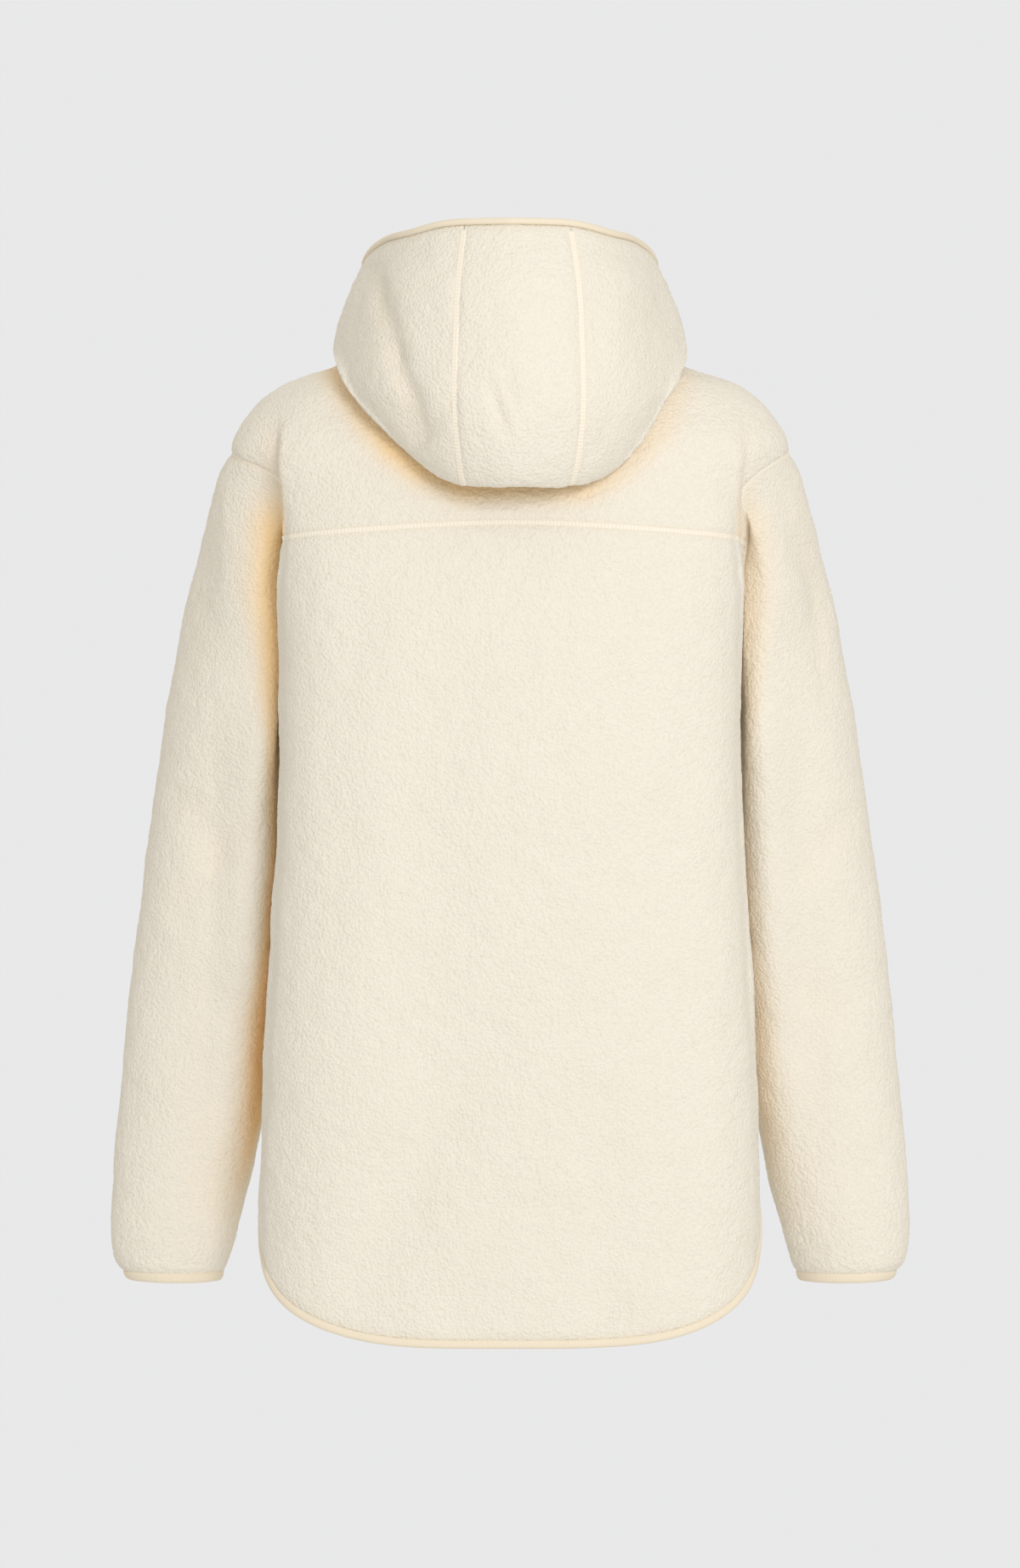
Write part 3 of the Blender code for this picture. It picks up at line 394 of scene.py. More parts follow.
def yoke_grid():
    """Yoke seam to the back of the neck, between armholes and shoulder seams."""
    left = np.concatenate([ARM_YOKE, shoulder_seam()[1:]])
    neck = neck_seam(run(SIDE_ANGLE, -SIDE_ANGLE, ACROSS_CELLS))
    return relaxed(coons(yoke_seam(), neck, left, flipped(left)), OTHER_PASSES)


def front_grid():
    """Left front: hem to neck, from the side seam and armhole to the zip."""
    hem_angles = run(SIDE_ANGLE, float(front_edge_angle(hem_level(178.0, HEM_FRONT_Z, 180.0))),
                     NECK_FRONT_CELLS)
    hem = np.stack([hem_angles, hem_level(hem_angles, HEM_FRONT_Z, 180.0)], -1)
    side = np.concatenate([side_seam(), ARM_FRONT[-2::-1], shoulder_seam()[1:]])
    end_angle = float(front_edge_angle(neck_level(178.0)))
    neck = neck_seam(run(SIDE_ANGLE, end_angle, NECK_FRONT_CELLS))
    levels = np.linspace(hem[-1, 1], neck[-1, 1], len(side))
    edge = np.stack([front_edge_angle(levels), levels], -1)
    return relaxed(coons(hem, neck, side, edge), OTHER_PASSES)


print("back panel", ACROSS_CELLS, "cells wide, fronts", NECK_FRONT_CELLS, "each")


# %% [markdown]
# ## The sleeves
# A sleeve is a tube.  Each ring lies between a point on its outer line and one on its inner
# line, and the first ring is the armhole itself; the difference fades out down the sleeve.

# %% Sleeve rings
SLEEVE_BLEND, SLEEVE_LONG = 2.2, 0.56          # levels over which the armhole fades, length
SOFT_PASSES = 200
SOFT_OUT, SOFT_BELOW = (0.030, 0.052), (0.070, 0.105, 0.25, 0.32)


def sleeve_points(turn, level):
    """Ring: middle + half * cos(turn) between the two lines, y_mid - half_depth * sin(turn)."""
    place = {name: smooth_column(level, SLEEVE_LEVELS, SLEEVE[name]) for name in SLEEVE_COLUMNS}
    across, along = np.cos(turn), np.sin(turn)
    middle_x = (place["outer_x"] + place["inner_x"]) / 2
    middle_z = (place["outer_z"] + place["inner_z"]) / 2
    half_x = (place["outer_x"] - place["inner_x"]) / 2
    half_z = (place["outer_z"] - place["inner_z"]) / 2
    return np.stack([middle_x + half_x * across - place["scoop"] * along**2,
                     place["y_mid"] - place["half_depth"] * along,
                     middle_z + half_z * across], -1)


def armhole_loop():
    """The armhole from the shoulder down the front, then up the back."""
    return np.concatenate([ARM_FRONT[:-1], ARM_BACK[:-1], ARM_YOKE[:-1]])


def sleeve_grid():
    """Rings plus the armhole's own shape times a weight (1-f)^2 (1+2f) that fades out; then
    the part behind the arm is relaxed, each point moving to the mean of its neighbours."""
    loop = armhole_loop()
    seam = body_point(loop[:, 0], loop[:, 1])
    length = lengths_along(np.concatenate([seam, seam[:1]]))
    seam_turn = np.interp(length[:-1], [0, length[ARM_FRONT_CELLS], length[-1]],
                          [0, math.pi, 2 * math.pi])
    even_turn = np.linspace(0, 2 * math.pi, len(loop), endpoint=False)
    levels = np.linspace(0, SLEEVE_LEVELS[-1], cells(SLEEVE_LONG) + 1)[:, None]
    share = levels / SLEEVE_LEVELS[-1]
    rings = sleeve_points(seam_turn * (1 - share) + even_turn * share, levels)
    fade = np.clip(levels / SLEEVE_BLEND, 0, 1)
    weight = ((1 - fade)**2 * (1 + 2 * fade))[:, :, None]
    rings = rings + weight * (seam[None] - rings[0][None])
    soft = (1 - smooth_step(beyond_back(rings), *SOFT_OUT)) * between(-rings[..., 2], *SOFT_BELOW)
    soft = (soft * smooth_step(rings[..., 1], -0.03, -0.01))[1:-1, :, None]
    for _ in range(SOFT_PASSES):
        sides = np.roll(rings, 1, axis=1) + np.roll(rings, -1, axis=1)
        mean = (rings[:-2] + rings[2:] + sides[1:-1]) / 4
        rings[1:-1] += soft * (mean - rings[1:-1])
    return rings


print("sleeve", len(armhole_loop()), "cells round and", cells(SLEEVE_LONG), "long")


# %% [markdown]
# ## The hood
# Worn down, a hood rolls over behind the neck, hangs down the back, folds at its lowest line
# and comes up again to the face edge, so it lies as a soft pouch.  It is one profile carried
# round the neck, and any point that would touch the yoke is moved off it.

# %% Hood profile
HOOD_PASSES = 130


def clear_of_body(point, clearance):
    """Points nearer to the body than a clearance move out along its normal, three times."""
    for _ in range(3):
        level = level_at(point[..., 2])
        along = point[..., 1] - body_column("side_y", level)
        angle = np.degrees(np.arctan2(point[..., 0], along))
        normal = body_normal(angle, level)
        away = np.sum((point - body_point(angle, level)) * normal, -1)
        below_neck = np.clip((neck_level(angle) - level) / 0.4, 0, 1)
        point = point + (np.maximum(clearance - away, 0) * below_neck)[..., None] * normal
    return point


def hood_point(angle, place):
    """Neck seam plus an outward distance and a height, both read from the hood's table."""
    angle = np.asarray(angle, float)
    seam = body_point(angle, neck_level(angle))
    turn = np.radians(angle)
    outs, heights = [0 * angle], [seam[..., 2]]
    for name in HOOD_PLACES[1:]:
        outs.append(smooth_column(np.abs(angle), HOOD["angle"], HOOD[name + "_out"]))
        heights.append(smooth_column(np.abs(angle), HOOD["angle"], HOOD[name + "_z"]))
    knots = np.arange(len(HOOD_PLACES))
    rows = []
    for step in np.atleast_1d(place):
        blend = [float(smooth_column(step, knots, knots == knot)) for knot in knots]
        out = sum(part * share for part, share in zip(outs, blend))
        z = sum(part * share for part, share in zip(heights, blend))
        away = HOOD_CLEAR * min(max(float(step), 0.0), 1.0)
        away += HOOD_LAYERS * min(max(float(step) - HOOD_FOLD_START, 0.0), 1.0)
        rows.append(clear_of_body(np.stack([seam[..., 0] + out * np.sin(turn),
                                            seam[..., 1] + out * np.cos(turn), z], -1), away))
    grid = np.array(rows)
    corner = np.exp(-((np.abs(grid[..., 0]) - 0.080) / 0.022)**2)
    grid[..., 2] -= HOOD_CORNER * corner * smooth_step(grid[..., 2], 0.055, 0.088)
    return grid


def hood_grid(first_angle, last_angle, width):
    """The hood between two angles round the neck, neck seam to face edge: relaxed at its
    two sides and in the middle, then let down in the middle and lifted at the lower left."""
    angles = run(first_angle, last_angle, cells(width))
    grid = hood_point(angles, run(0, HOOD_TOP, cells(HOOD_LONG)))
    soft = np.exp(-((np.abs(angles) - 88) / 22)**2) + 0.25 * np.exp(-(angles / 7)**2)
    grid = relaxed(grid, HOOD_PASSES, soft[None, 1:-1, None])
    x, low = grid[..., 0].copy(), -grid[..., 2]
    sag = HOOD_SAG * smooth_step(low, 0.02, 0.09) * (1 - smooth_step(x, 0.035, 0.075))
    lift = HOOD_LIFT * smooth_step(low, -0.01, 0.05) * np.exp(-((x - 0.088) / 0.030)**2)
    grid[..., 2] += (lift - sag) * smooth_step(grid[..., 1], 0.0, 0.03)
    return grid


print("hood", cells(HOOD_LONG), "cells from the neck to the face edge")


# %% [markdown]
# ## Drape
# A filled-out garment still has soft folds: a sharp tuck where each sleeve hangs beside the
# back, broad hollows down the back, and short creases in the hood.  Cloth simulation would
# put them anywhere; here each one is placed as an uneven trough along a line, so the
# ones that show are where they belong and the hidden sides get ones like them.

# %% Noise and troughs
def hashed(cell, seed):
    """A repeatable number from 0 to 1 for each whole-number cell, by mixing its bits."""
    mixed = cell[..., 0] * 73856093 ^ cell[..., 1] * 19349663 ^ cell[..., 2] * 83492791
    mixed = (mixed + seed * 374761393) & 0xFFFFFFFF
    mixed = ((mixed ^ (mixed >> 13)) * 1274126177) & 0xFFFFFFFF
    mixed = ((mixed ^ (mixed >> 16)) * 2246822519) & 0xFFFFFFFF
    return (mixed ^ (mixed >> 15)).astype(float) / 0xFFFFFFFF


def soft_noise(points, size, seed=0):
    """Value noise from -1 to 1: corner numbers of each cell blended by 3t2-2t3."""
    scaled = points / size
    base = np.floor(scaled).astype(np.int64)
    t = scaled - base
    t = t * t * (3 - 2 * t)
    total = 0
    for corner in np.ndindex(2, 2, 2):
        corner = np.array(corner)
        weight = np.prod(np.where(corner == 1, t, 1 - t), -1)
        total = total + weight * hashed(base + corner, seed)
    return total * 2 - 1


def nubs(points, size, seed=0):
    """Cell noise: 1 - (distance to the nearest scattered point / size)^2, never below 0."""
    scaled = points / size
    base = np.floor(scaled).astype(np.int64)
    nearest = np.full(points.shape[:-1], 9.0)
    for offset in np.ndindex(3, 3, 3):
        cell = base + np.array(offset) - 1
        spot = np.stack([hashed(cell, seed + axis) for axis in range(3)], -1)
        nearest = np.minimum(nearest, np.sum((cell + spot - scaled)**2, -1))
    return np.clip(1 - nearest, 0, 1)


# facing (1 back, -1 front), start x and z, end x and z, width, depth
TROUGHS = (
    (1, 0.106, 0.070, 0.088, 0.000, 0.0090, 0.0065),
    (1, 0.088, 0.000, 0.070, -0.065, 0.0085, 0.0065),
    (1, 0.016, -0.022, 0.003, -0.060, 0.0050, 0.0030),
    (1, 0.006, -0.012, -0.004, -0.040, 0.0050, 0.0020),
    (1, 0.046, -0.040, 0.072, -0.072, 0.0065, 0.0020),
    (1, -0.104, 0.045, -0.112, -0.020, 0.018, 0.0025),
    (1, -0.062, 0.060, -0.070, -0.060, 0.012, 0.0015),
    (1, 0.026, -0.536, 0.130, -0.737, 0.030, 0.0060),
    (1, 0.052, -0.190, 0.058, -0.560, 0.035, 0.0040),
    (1, -0.135, -0.200, -0.125, -0.640, 0.030, 0.0050),
    (1, -0.060, -0.560, -0.075, -0.740, 0.022, 0.0030),
    (1, 0.120, -0.180, 0.130, -0.420, 0.025, 0.0030),
    (1, -0.226, -0.083, -0.246, -0.250, 0.011, 0.0040),
    (1, 0.232, -0.100, 0.250, -0.240, 0.014, 0.0030),
    (1, 0.262, -0.330, 0.225, -0.390, 0.014, 0.0035),
    (1, 0.205, -0.360, 0.262, -0.430, 0.013, 0.0028),
    (-1, 0.210, -0.330, 0.268, -0.385, 0.016, 0.0050),
    (-1, 0.275, -0.420, 0.215, -0.455, 0.014, 0.0045),
    (1, -0.262, -0.350, -0.222, -0.405, 0.014, 0.0032),
    (1, -0.208, -0.470, -0.262, -0.510, 0.014, 0.0028),
    (-1, -0.212, -0.345, -0.270, -0.395, 0.016, 0.0050),
    (-1, -0.272, -0.440, -0.216, -0.470, 0.014, 0.0045),
    (-1, 0.070, -0.180, 0.085, -0.620, 0.030, 0.0050),
    (-1, -0.085, -0.240, -0.070, -0.680, 0.030, 0.0050),
    (-1, 0.165, -0.190, 0.080, -0.300, 0.020, 0.0060),
    (-1, -0.165, -0.200, -0.080, -0.320, 0.020, 0.0060),
    (-1, 0.030, -0.620, 0.060, -0.715, 0.018, 0.0035),
)
# where the back hides the inside of a sleeve: height, distance from the middle
BACK_EDGE = ((-0.640, 0.1945), (-0.560, 0.1905), (-0.490, 0.1860), (-0.430, 0.1830),
             (-0.370, 0.1790), (-0.180, 0.1790), (-0.137, 0.1770), (-0.030, 0.1770))
# by height, how far the cloth just outside that edge is moved forward, and inward under it
TUCK_DEPTH = ((-0.320, 0.002), (-0.200, 0.008), (-0.130, 0.012), (-0.085, 0.011),
              (-0.060, 0.006), (-0.035, 0.0))
TUCK_UNDER = ((-0.360, 0.0), (-0.280, 0.006), (-0.200, 0.012), (-0.120, 0.014),
              (-0.085, 0.011), (-0.060, 0.004), (-0.042, 0.0))
TUCK_RISE, TUCK_FADE = 0.006, 0.030
BACK_SQUARE, SLEEVE_FULL, SLEEVE_MORE = 0.007, 0.015, 0.6
RIGHT_FORWARD, RIGHT_INWARD, RIGHT_FOLD_SHADE = 0.28, 0.35, 0.32    # beside 1 for the left fold
# by height, how far the shoulder's outline lies inside the solid's
SHOULDER_TRIM = ((-0.170, 0.0), (-0.135, 0.003), (-0.100, 0.003), (-0.078, 0.0005),
                 (-0.055, 0.003), (-0.025, 0.0025), (0.0, 0.0))
# how strong the painted tan shade in the fold beside the back is at each height
FOLD_SHADE_BY_HEIGHT = ((-0.600, 1.0), (-0.520, 1.0), (-0.450, 0.8), (-0.290, 0.8), (-0.220, 1.0))
# the hood's lower outline: x, z and how much painted shade the pile beside it gets
SHADE_WIDE, SHADE_SHARE, TROUGH_SHARE = 0.012, 0.95, 0.075
HOOD_SHADE = ((0.137, 0.004, 0.6), (0.134, -0.007, 0.7), (0.108, -0.047, 0.8),
              (0.089, -0.069, 1.0), (0.069, -0.085, 1.0), (0.035, -0.099, 1.0),
              (-0.055, -0.099, 0.7), (-0.084, -0.085, 0.4), (-0.116, -0.053, 0.3),
              (-0.133, -0.014, 0.2))


def troughs(points, facing):
    """Depth * exp(-(distance to a line / width)^2) on the side it belongs to, with a bend
    and unevenness from noise; facing is how much each point faces back, from -1 to 1."""
    wander = points + 0.006 * np.stack([soft_noise(points, 0.045, 5 + axis)
                                        for axis in range(3)], -1)
    flat = wander[..., [0, 2]]
    total = np.zeros(points.shape[:-1])
    for side, start_x, start_z, end_x, end_z, width, depth in TROUGHS:
        start, along = np.array([start_x, start_z]), np.array([end_x - start_x, end_z - start_z])
        share = np.clip((flat - start) @ along / (along @ along), -0.15, 1.15)
        distance = np.linalg.norm(flat - start - share[..., None] * along, axis=-1)
        ends = np.sin(math.pi * np.clip((share + 0.15) / 1.3, 0, 1))**0.6
        shown = np.clip((side * facing - 0.1) / 0.3, 0, 1)
        total -= depth * ends * shown * np.exp(-(distance / width)**2)
    return total


def beyond_back(points):
    """How far each point is outside the line where the back's edge is seen."""
    return np.abs(points[..., 0]) - straight_column(points[..., 2], BACK_EDGE)


def tuck(points):
    """Moves of the cloth beside the back: forward in a step just outside the back's edge
    that dies out over TUCK_FADE, and inward so that it lies under that edge."""
    z, out = points[..., 2], beyond_back(points)
    fade = np.exp(-(np.maximum(out - TUCK_RISE, 0) / TUCK_FADE)**2)
    forward = straight_column(z, TUCK_DEPTH) * smooth_step(out, 0, TUCK_RISE) * fade
    inward = straight_column(z, TUCK_UNDER) * between(out, 0.0, 0.010, 0.020, 0.052)
    behind = smooth_step(points[..., 1], -0.02, 0.01)
    forward *= np.where(points[..., 0] > 0, 1.0, RIGHT_FORWARD) * behind
    inward *= np.where(points[..., 0] > 0, 1.0, RIGHT_INWARD) * behind
    trim = smooth_column(z, *np.array(SHOULDER_TRIM).T)
    inward += trim * smooth_step(np.abs(points[..., 0]), 0.15, 0.19)
    return np.stack([-np.sign(points[..., 0]) * inward, -forward, 0 * z], -1)


def fuller(points, facing):
    """How far the back stands out beside its two edges, and the sleeves next to them."""
    x, z, out = np.abs(points[..., 0]), points[..., 2], beyond_back(points)
    back = smooth_step(x, 0.07, 0.165) * (1 - smooth_step(out, -0.007, -0.0005))
    back *= smooth_step(-z, 0.09, 0.16) * smooth_step(facing, 0.1, 0.4)
    sleeve = between(out, -0.002, 0.006, 0.012, 0.055)
    sleeve *= smooth_step(facing, -0.7, 0.0) * smooth_step(-z, 0.10, 0.20)
    sleeve *= 1 + SLEEVE_MORE * between(-z, 0.24, 0.30, 0.46, 0.52)
    return BACK_SQUARE * back + SLEEVE_FULL * sleeve * (1 - smooth_step(-z, 0.55, 0.66))


def painted_shade_share(points, facing, beneath_hood):
    """A share from 0 to 1 of painted shade for each point of the pile: a tan tint standing in
    for shade in the fold beside the back, under the hood's lower outline and in the troughs."""
    x, y, z = points[..., 0], points[..., 1], points[..., 2]
    out = beyond_back(points)
    # painted shade: a tan band on the cloth just outside the back's edge, set by height
    shown = 0.15 * smooth_step(-z, 0.035, 0.07) + 0.85 * smooth_step(-z, 0.085, 0.135)
    shown *= smooth_step(y, -0.045, -0.025) * straight_column(z, FOLD_SHADE_BY_HEIGHT)
    wide = 0.0115 + 0.007 * between(-z, 0.085, 0.12, 0.17, 0.24)
    wide -= 0.0055 * between(-z, 0.24, 0.30, 0.44, 0.52)
    band = np.exp(-(np.clip(out - 0.005, 0, 1) / wide)**2) * smooth_step(out, -0.006, -0.001)
    share = band * shown * np.where(x > 0, 1.0, RIGHT_FOLD_SHADE)
    # painted shade: a tan band on the yoke just under the hood's lower outline
    outline = np.array(HOOD_SHADE)
    flat = points[..., [0, 2]]
    for start, end in zip(outline[:-1], outline[1:]):
        along = end[:2] - start[:2]
        at = np.clip((flat - start[:2]) @ along / (along @ along), 0, 1)
        away = np.linalg.norm(flat - start[:2] - at[..., None] * along, axis=-1)
        shade = (start[2] + (end[2] - start[2]) * at) * SHADE_SHARE
        share = np.maximum(share, np.exp(-(away / SHADE_WIDE)**2) * shade * beneath_hood)
    # painted shade also goes into the troughs, more where they are deeper
    return np.clip(share - troughs(points, facing) / TROUGH_SHARE, 0, 1)


print(len(TROUGHS), "troughs")


# %% [markdown]
# ## From a grid to a wall of cloth
# The outer face carries the pile, so it gets cells of about 2 mm and the nubs are real.
# The inner face is hardly seen, so it keeps every fourth point.  Between them a rim closes
# the piece.  Solidify would give both faces the same cells, twice the size for nothing.

# %% Wall builder
PILE_NUB, PILE_TALL = 0.0038, 0.00105      # size and height of the pile's nubs
SEAM_DIP, SEAM_WIDE = 0.0009, 0.0042       # how far a seam pulls the pile down, and how wide
UNEVEN = ((0.011, 0.0005, 9), (0.038, 0.0009, 12))    # size and height of the pile's waves


def grid_normals(grid, closed):
    """Cross product of the steps along the two directions of the grid."""
    if closed:
        across = np.roll(grid, -1, axis=1) - np.roll(grid, 1, axis=1)
    else:
        across = np.gradient(grid, axis=1)
    return unit(np.cross(np.gradient(grid, axis=0), across))


def distance_to(grid, sides):
    """Least distance along the grid's own lines to any of the named sides."""
    nearest = np.full(grid.shape[:2], 1.0)
    for side in sides:
        axis = 0 if side in ("bottom", "top") else 1
        steps = np.linalg.norm(np.diff(grid, axis=axis), axis=-1)
        length = np.concatenate([np.zeros_like(np.take(steps, [0], axis)),
                                 np.cumsum(steps, axis=axis)], axis)
        if side in ("top", "right"):
            length = np.take(length, [-1], axis) - length
        nearest = np.minimum(nearest, length)
    return nearest


def point_numbers(shape, closed, first=0, looped=False):
    """The numbers of a grid's points.  The first column is repeated after the last one of a
    closed grid, and the first row after the last one of a looped grid."""
    index = first + np.arange(shape[0] * shape[1]).reshape(shape[:2])
    if closed:
        index = np.concatenate([index, index[:, :1]], axis=1)
    if looped:
        index = np.concatenate([index, index[:1]], axis=0)
    return index


def cell_faces(index):
    """The four corners of each cell of a grid of point numbers."""
    return np.stack([index[:-1, :-1], index[:-1, 1:], index[1:, 1:], index[1:, :-1]],
                    -1).reshape(-1, 4).tolist()


def tube_faces(count, sides, looped):
    """Faces of a tube of rings, with an n-sided cap at each end unless it is looped."""
    index = point_numbers((count, sides), True, looped=looped)
    caps = [index[0, :-1][::-1].tolist(), index[-1, :-1].tolist()]
    return cell_faces(index) + ([] if looped else caps)


def rim(outer_line, inner_line):
    """Faces from COARSE cells of the outer face's edge to one cell of the inner face's."""
    outer_line, inner_line = outer_line.tolist(), inner_line.tolist()
    return [[*outer_line[i * COARSE:(i + 1) * COARSE + 1], inner_line[i + 1], inner_line[i]]
            for i in range(len(inner_line) - 1)]


def wall_faces(outer, inner, closed):
    """Faces of both sides of a wall and of the rims between them, from point numbers."""
    turned = cell_faces(inner) + rim(outer[0], inner[0])
    kept = cell_faces(outer) + rim(outer[-1], inner[-1])
    if not closed:
        turned += rim(outer[:, -1], inner[:, -1])
        kept += rim(outer[:, 0], inner[:, 0])
    return kept + [face[::-1] for face in turned]


def new_piece(name, points, faces, material, smooth=True):
    """A mesh object whose normals point out of it, riding on the garment."""
    mesh = bpy.data.meshes.new(name)
    mesh.from_pydata(points.tolist(), [], faces)
    mesh.validate()
    thing = bpy.data.objects.new(name, mesh)
    bpy.context.scene.collection.objects.link(thing)
    if signed_volume(mesh) < 0:
        mesh.flip_normals()
    if smooth:
        mesh.shade_smooth()
    mesh.materials.append(material)
    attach(thing, "garment")
    return thing


def signed_volume(mesh):
    """Sum over triangles of a . (b x c) / 6, which is negative when the mesh is inside out."""
    mesh.calc_loop_triangles()
    corner = np.empty(3 * len(mesh.loop_triangles), np.int32)
    mesh.loop_triangles.foreach_get("vertices", corner)
    points = np.empty(3 * len(mesh.vertices))
    mesh.vertices.foreach_get("co", points)
    a, b, c = points.reshape(-1, 3)[corner.reshape(-1, 3)].transpose(1, 0, 2)
    return float(np.sum(a * np.cross(b, c)) / 6)


def surface_area(grid, closed):
    """Area of a grid of points, from the cross product of each cell's diagonals."""
    if closed:
        grid = np.concatenate([grid, grid[:, :1]], axis=1)
    first = grid[1:, 1:] - grid[:-1, :-1]
    second = grid[1:, :-1] - grid[:-1, 1:]
    return float(np.linalg.norm(np.cross(first, second), axis=-1).sum() / 2)


def draped(grid, normals):
    """The grid with its troughs and the tuck beside the back, before the pile."""
    moved = grid + normals * troughs(grid, normals[..., 1])[..., None]
    moved[..., 1] += fuller(grid, normals[..., 1])
    return moved + tuck(grid)


def add_share(piece, name, outer_share, inner):
    """A share for each point that the shader reads, which is 0 on the inner face."""
    values = np.concatenate([outer_share.reshape(-1), np.zeros(inner.size // 3)])
    piece.data.attributes.new(name, "FLOAT", "POINT").data.foreach_set("value", values)


def cloth(name, grid, normals, seams, closed=False, flat=None):
    """A wall of fleece from its outer grid and the outward normal at each of its points."""
    base = draped(grid, normals)
    near = np.exp(-(distance_to(grid, seams) / SEAM_WIDE)**2)
    bump = PILE_TALL * (nubs(grid, PILE_NUB) - 0.5)
    for size, tall, seed in UNEVEN:
        bump += tall * soft_noise(grid, size, seed)
    outer = base + normals * (bump * (1 - near) - SEAM_DIP * near)[..., None]
    inner = base - normals * FLEECE
    inner[..., 1] -= 0.5 * np.abs(tuck(grid)[..., 1])
    inner = inner[::COARSE, ::COARSE]
    faces = wall_faces(point_numbers(outer.shape, closed),
                       point_numbers(inner.shape, closed, outer.size // 3), closed)
    points = np.concatenate([outer.reshape(-1, 3), inner.reshape(-1, 3)])
    piece = new_piece(name, points, faces, FLEECE_LOOK)
    # painted shade: the share of tan that stands in for shade in folds, troughs and under the hood
    painted_shade = painted_shade_share(base, normals[..., 1], name == "cloth_back_yoke")
    add_share(piece, "seam", near, inner)
    add_share(piece, "painted_shade", painted_shade * (name != "cloth_back_panel"), inner)
    area = surface_area(grid, closed)
    pieces[name] = (piece, area, flat)
    print(f"{name}: {len(faces)} faces, {area:.3f} square metres")
    return piece


pieces = {}
print(f"nubs of {PILE_NUB * 1000} mm on cells of {CELL * 1000} mm")


# %% [markdown]
# ## Looks
# Pile fleece is a mat of tiny curls.  Close to, it is pebbly, with fine dark lines of painted
# shade between the curls; from further off it is a matte cream that brightens softly at its
# edges.  The curls come from cell noise squashed a little, with finer noise for single fibres
# on top.

# %% Shader groups
def group(name, inputs, outputs):
    """A shader node group with float inputs and the outputs given as (name, kind)."""
    tree = bpy.data.node_groups.new(name, "ShaderNodeTree")
    for label, value in inputs:
        socket = tree.interface.new_socket(label, in_out="INPUT", socket_type="NodeSocketFloat")
        socket.default_value = value
    for label, kind in outputs:
        tree.interface.new_socket(label, in_out="OUTPUT", socket_type="NodeSocket" + kind)
    return tree, tree.nodes.new("NodeGroupInput"), tree.nodes.new("NodeGroupOutput")


def add_node(tree, kind, inputs=(), **settings):
    """A shader node with its settings made first, because they can change its sockets, and
    then its inputs: each is another node's output, a number, or a colour of three numbers."""
    node = tree.nodes.new("ShaderNode" + kind)
    for name, value in settings.items():
        setattr(node, name, value)
    for key, value in dict(inputs).items():
        if isinstance(value, bpy.types.NodeSocket):
            tree.links.new(value, node.inputs[key])
        else:
            colour = isinstance(value, tuple)
            node.inputs[key].default_value = (*value, 1.0) if colour else value
    return node


def maths(tree, operation, first, second):
    """The number that a Math node gives for two sockets or numbers."""
    return add_node(tree, "Math", {0: first, 1: second}, operation=operation).outputs[0]


def noise(tree, coordinates, scale, detail=2.0, rough=0.5):
    """A noise texture's number, read at the given coordinates."""
    return add_node(tree, "TexNoise", {"Detail": detail, "Roughness": rough,
                                       "Vector": coordinates, "Scale": scale}).outputs["Fac"]


def place_of(tree):
    """Where a point is on the object, in metres."""
    return add_node(tree, "TexCoord").outputs["Object"]


def make_pile_group():
    """Curls: warped Voronoi distance gives the height; its edges give the painted shade of the
    dark lines.
    """
    tree, given, result = group("pile", [("Curls per metre", 430.0), ("Warp", 0.0017)],
                                [("Height", "Float"), ("Curl gap shade", "Float"), ("Mottle", "Float")])
    where, curls_per_metre = place_of(tree), given.outputs["Curls per metre"]
    bend = add_node(tree, "TexNoise", {"Scale": 260.0, "Vector": where})
    warp = add_node(tree, "CombineXYZ", dict.fromkeys("XYZ", given.outputs["Warp"]))
    shift = add_node(tree, "VectorMath", {0: bend.outputs["Color"], 1: warp.outputs[0],
                                          2: where}, operation="MULTIPLY_ADD")
    curls = add_node(tree, "TexVoronoi", {"Smoothness": 0.35, "Scale": curls_per_metre,
                                          "Vector": shift.outputs[0]}, feature="SMOOTH_F1")
    dome = maths(tree, "SUBTRACT", 1.0, curls.outputs["Distance"])
    fibre = noise(tree, where, maths(tree, "MULTIPLY", curls_per_metre, 5.0))
    height = maths(tree, "ADD", dome, maths(tree, "MULTIPLY", fibre, 0.35))
    # painted shade: the gaps between the curls get a darker colour
    curl_gap_shade = add_node(tree, "MapRange", {"From Min": 0.42, "From Max": 0.85,
                                        "Value": curls.outputs["Distance"]},
                     interpolation_type="SMOOTHSTEP")
    mottle = noise(tree, where, 22.0, 4.0)
    for label, socket in (("Height", height), ("Curl gap shade", curl_gap_shade.outputs[0]), ("Mottle", mottle)):
        tree.links.new(socket, result.inputs[label])
    return tree


def make_rib_group():
    """Fine ribs along the piece's own u coordinate, sin(2 pi u / pitch), broken by noise."""
    tree, given, result = group("rib", [("Ribs per metre", 900.0)], [("Height", "Float")])
    split = add_node(tree, "SeparateXYZ", {0: add_node(tree, "UVMap").outputs["UV"]})
    turns = maths(tree, "MULTIPLY", split.outputs["X"],
                  maths(tree, "MULTIPLY", given.outputs["Ribs per metre"], 2 * math.pi))
    ribs = maths(tree, "MULTIPLY", maths(tree, "SINE", turns, 0.0), 0.5)
    rough = noise(tree, place_of(tree), 1400.0)
    tree.links.new(maths(tree, "ADD", ribs, rough), result.inputs["Height"])
    return tree


PILE_GROUP = make_pile_group()
RIB_GROUP = make_rib_group()
print("shader groups:", [made.name for made in (PILE_GROUP, RIB_GROUP)])


# %% [markdown]
# ## Materials
# The fleece is matte with a slight sheen, the bindings are a fine rib of two close creams,
# and the zip is moulded and painted in the same cream.  Colours are mixed in the shader and
# every constant is set on the shader itself.

# %% Materials
def mix_colour(tree, share, first, second):
    """A blend of two colours by a share; each colour is a triple or a socket."""
    return add_node(tree, "Mix", {"Factor": share, 6: first, 7: second},
                    data_type="RGBA").outputs[2]


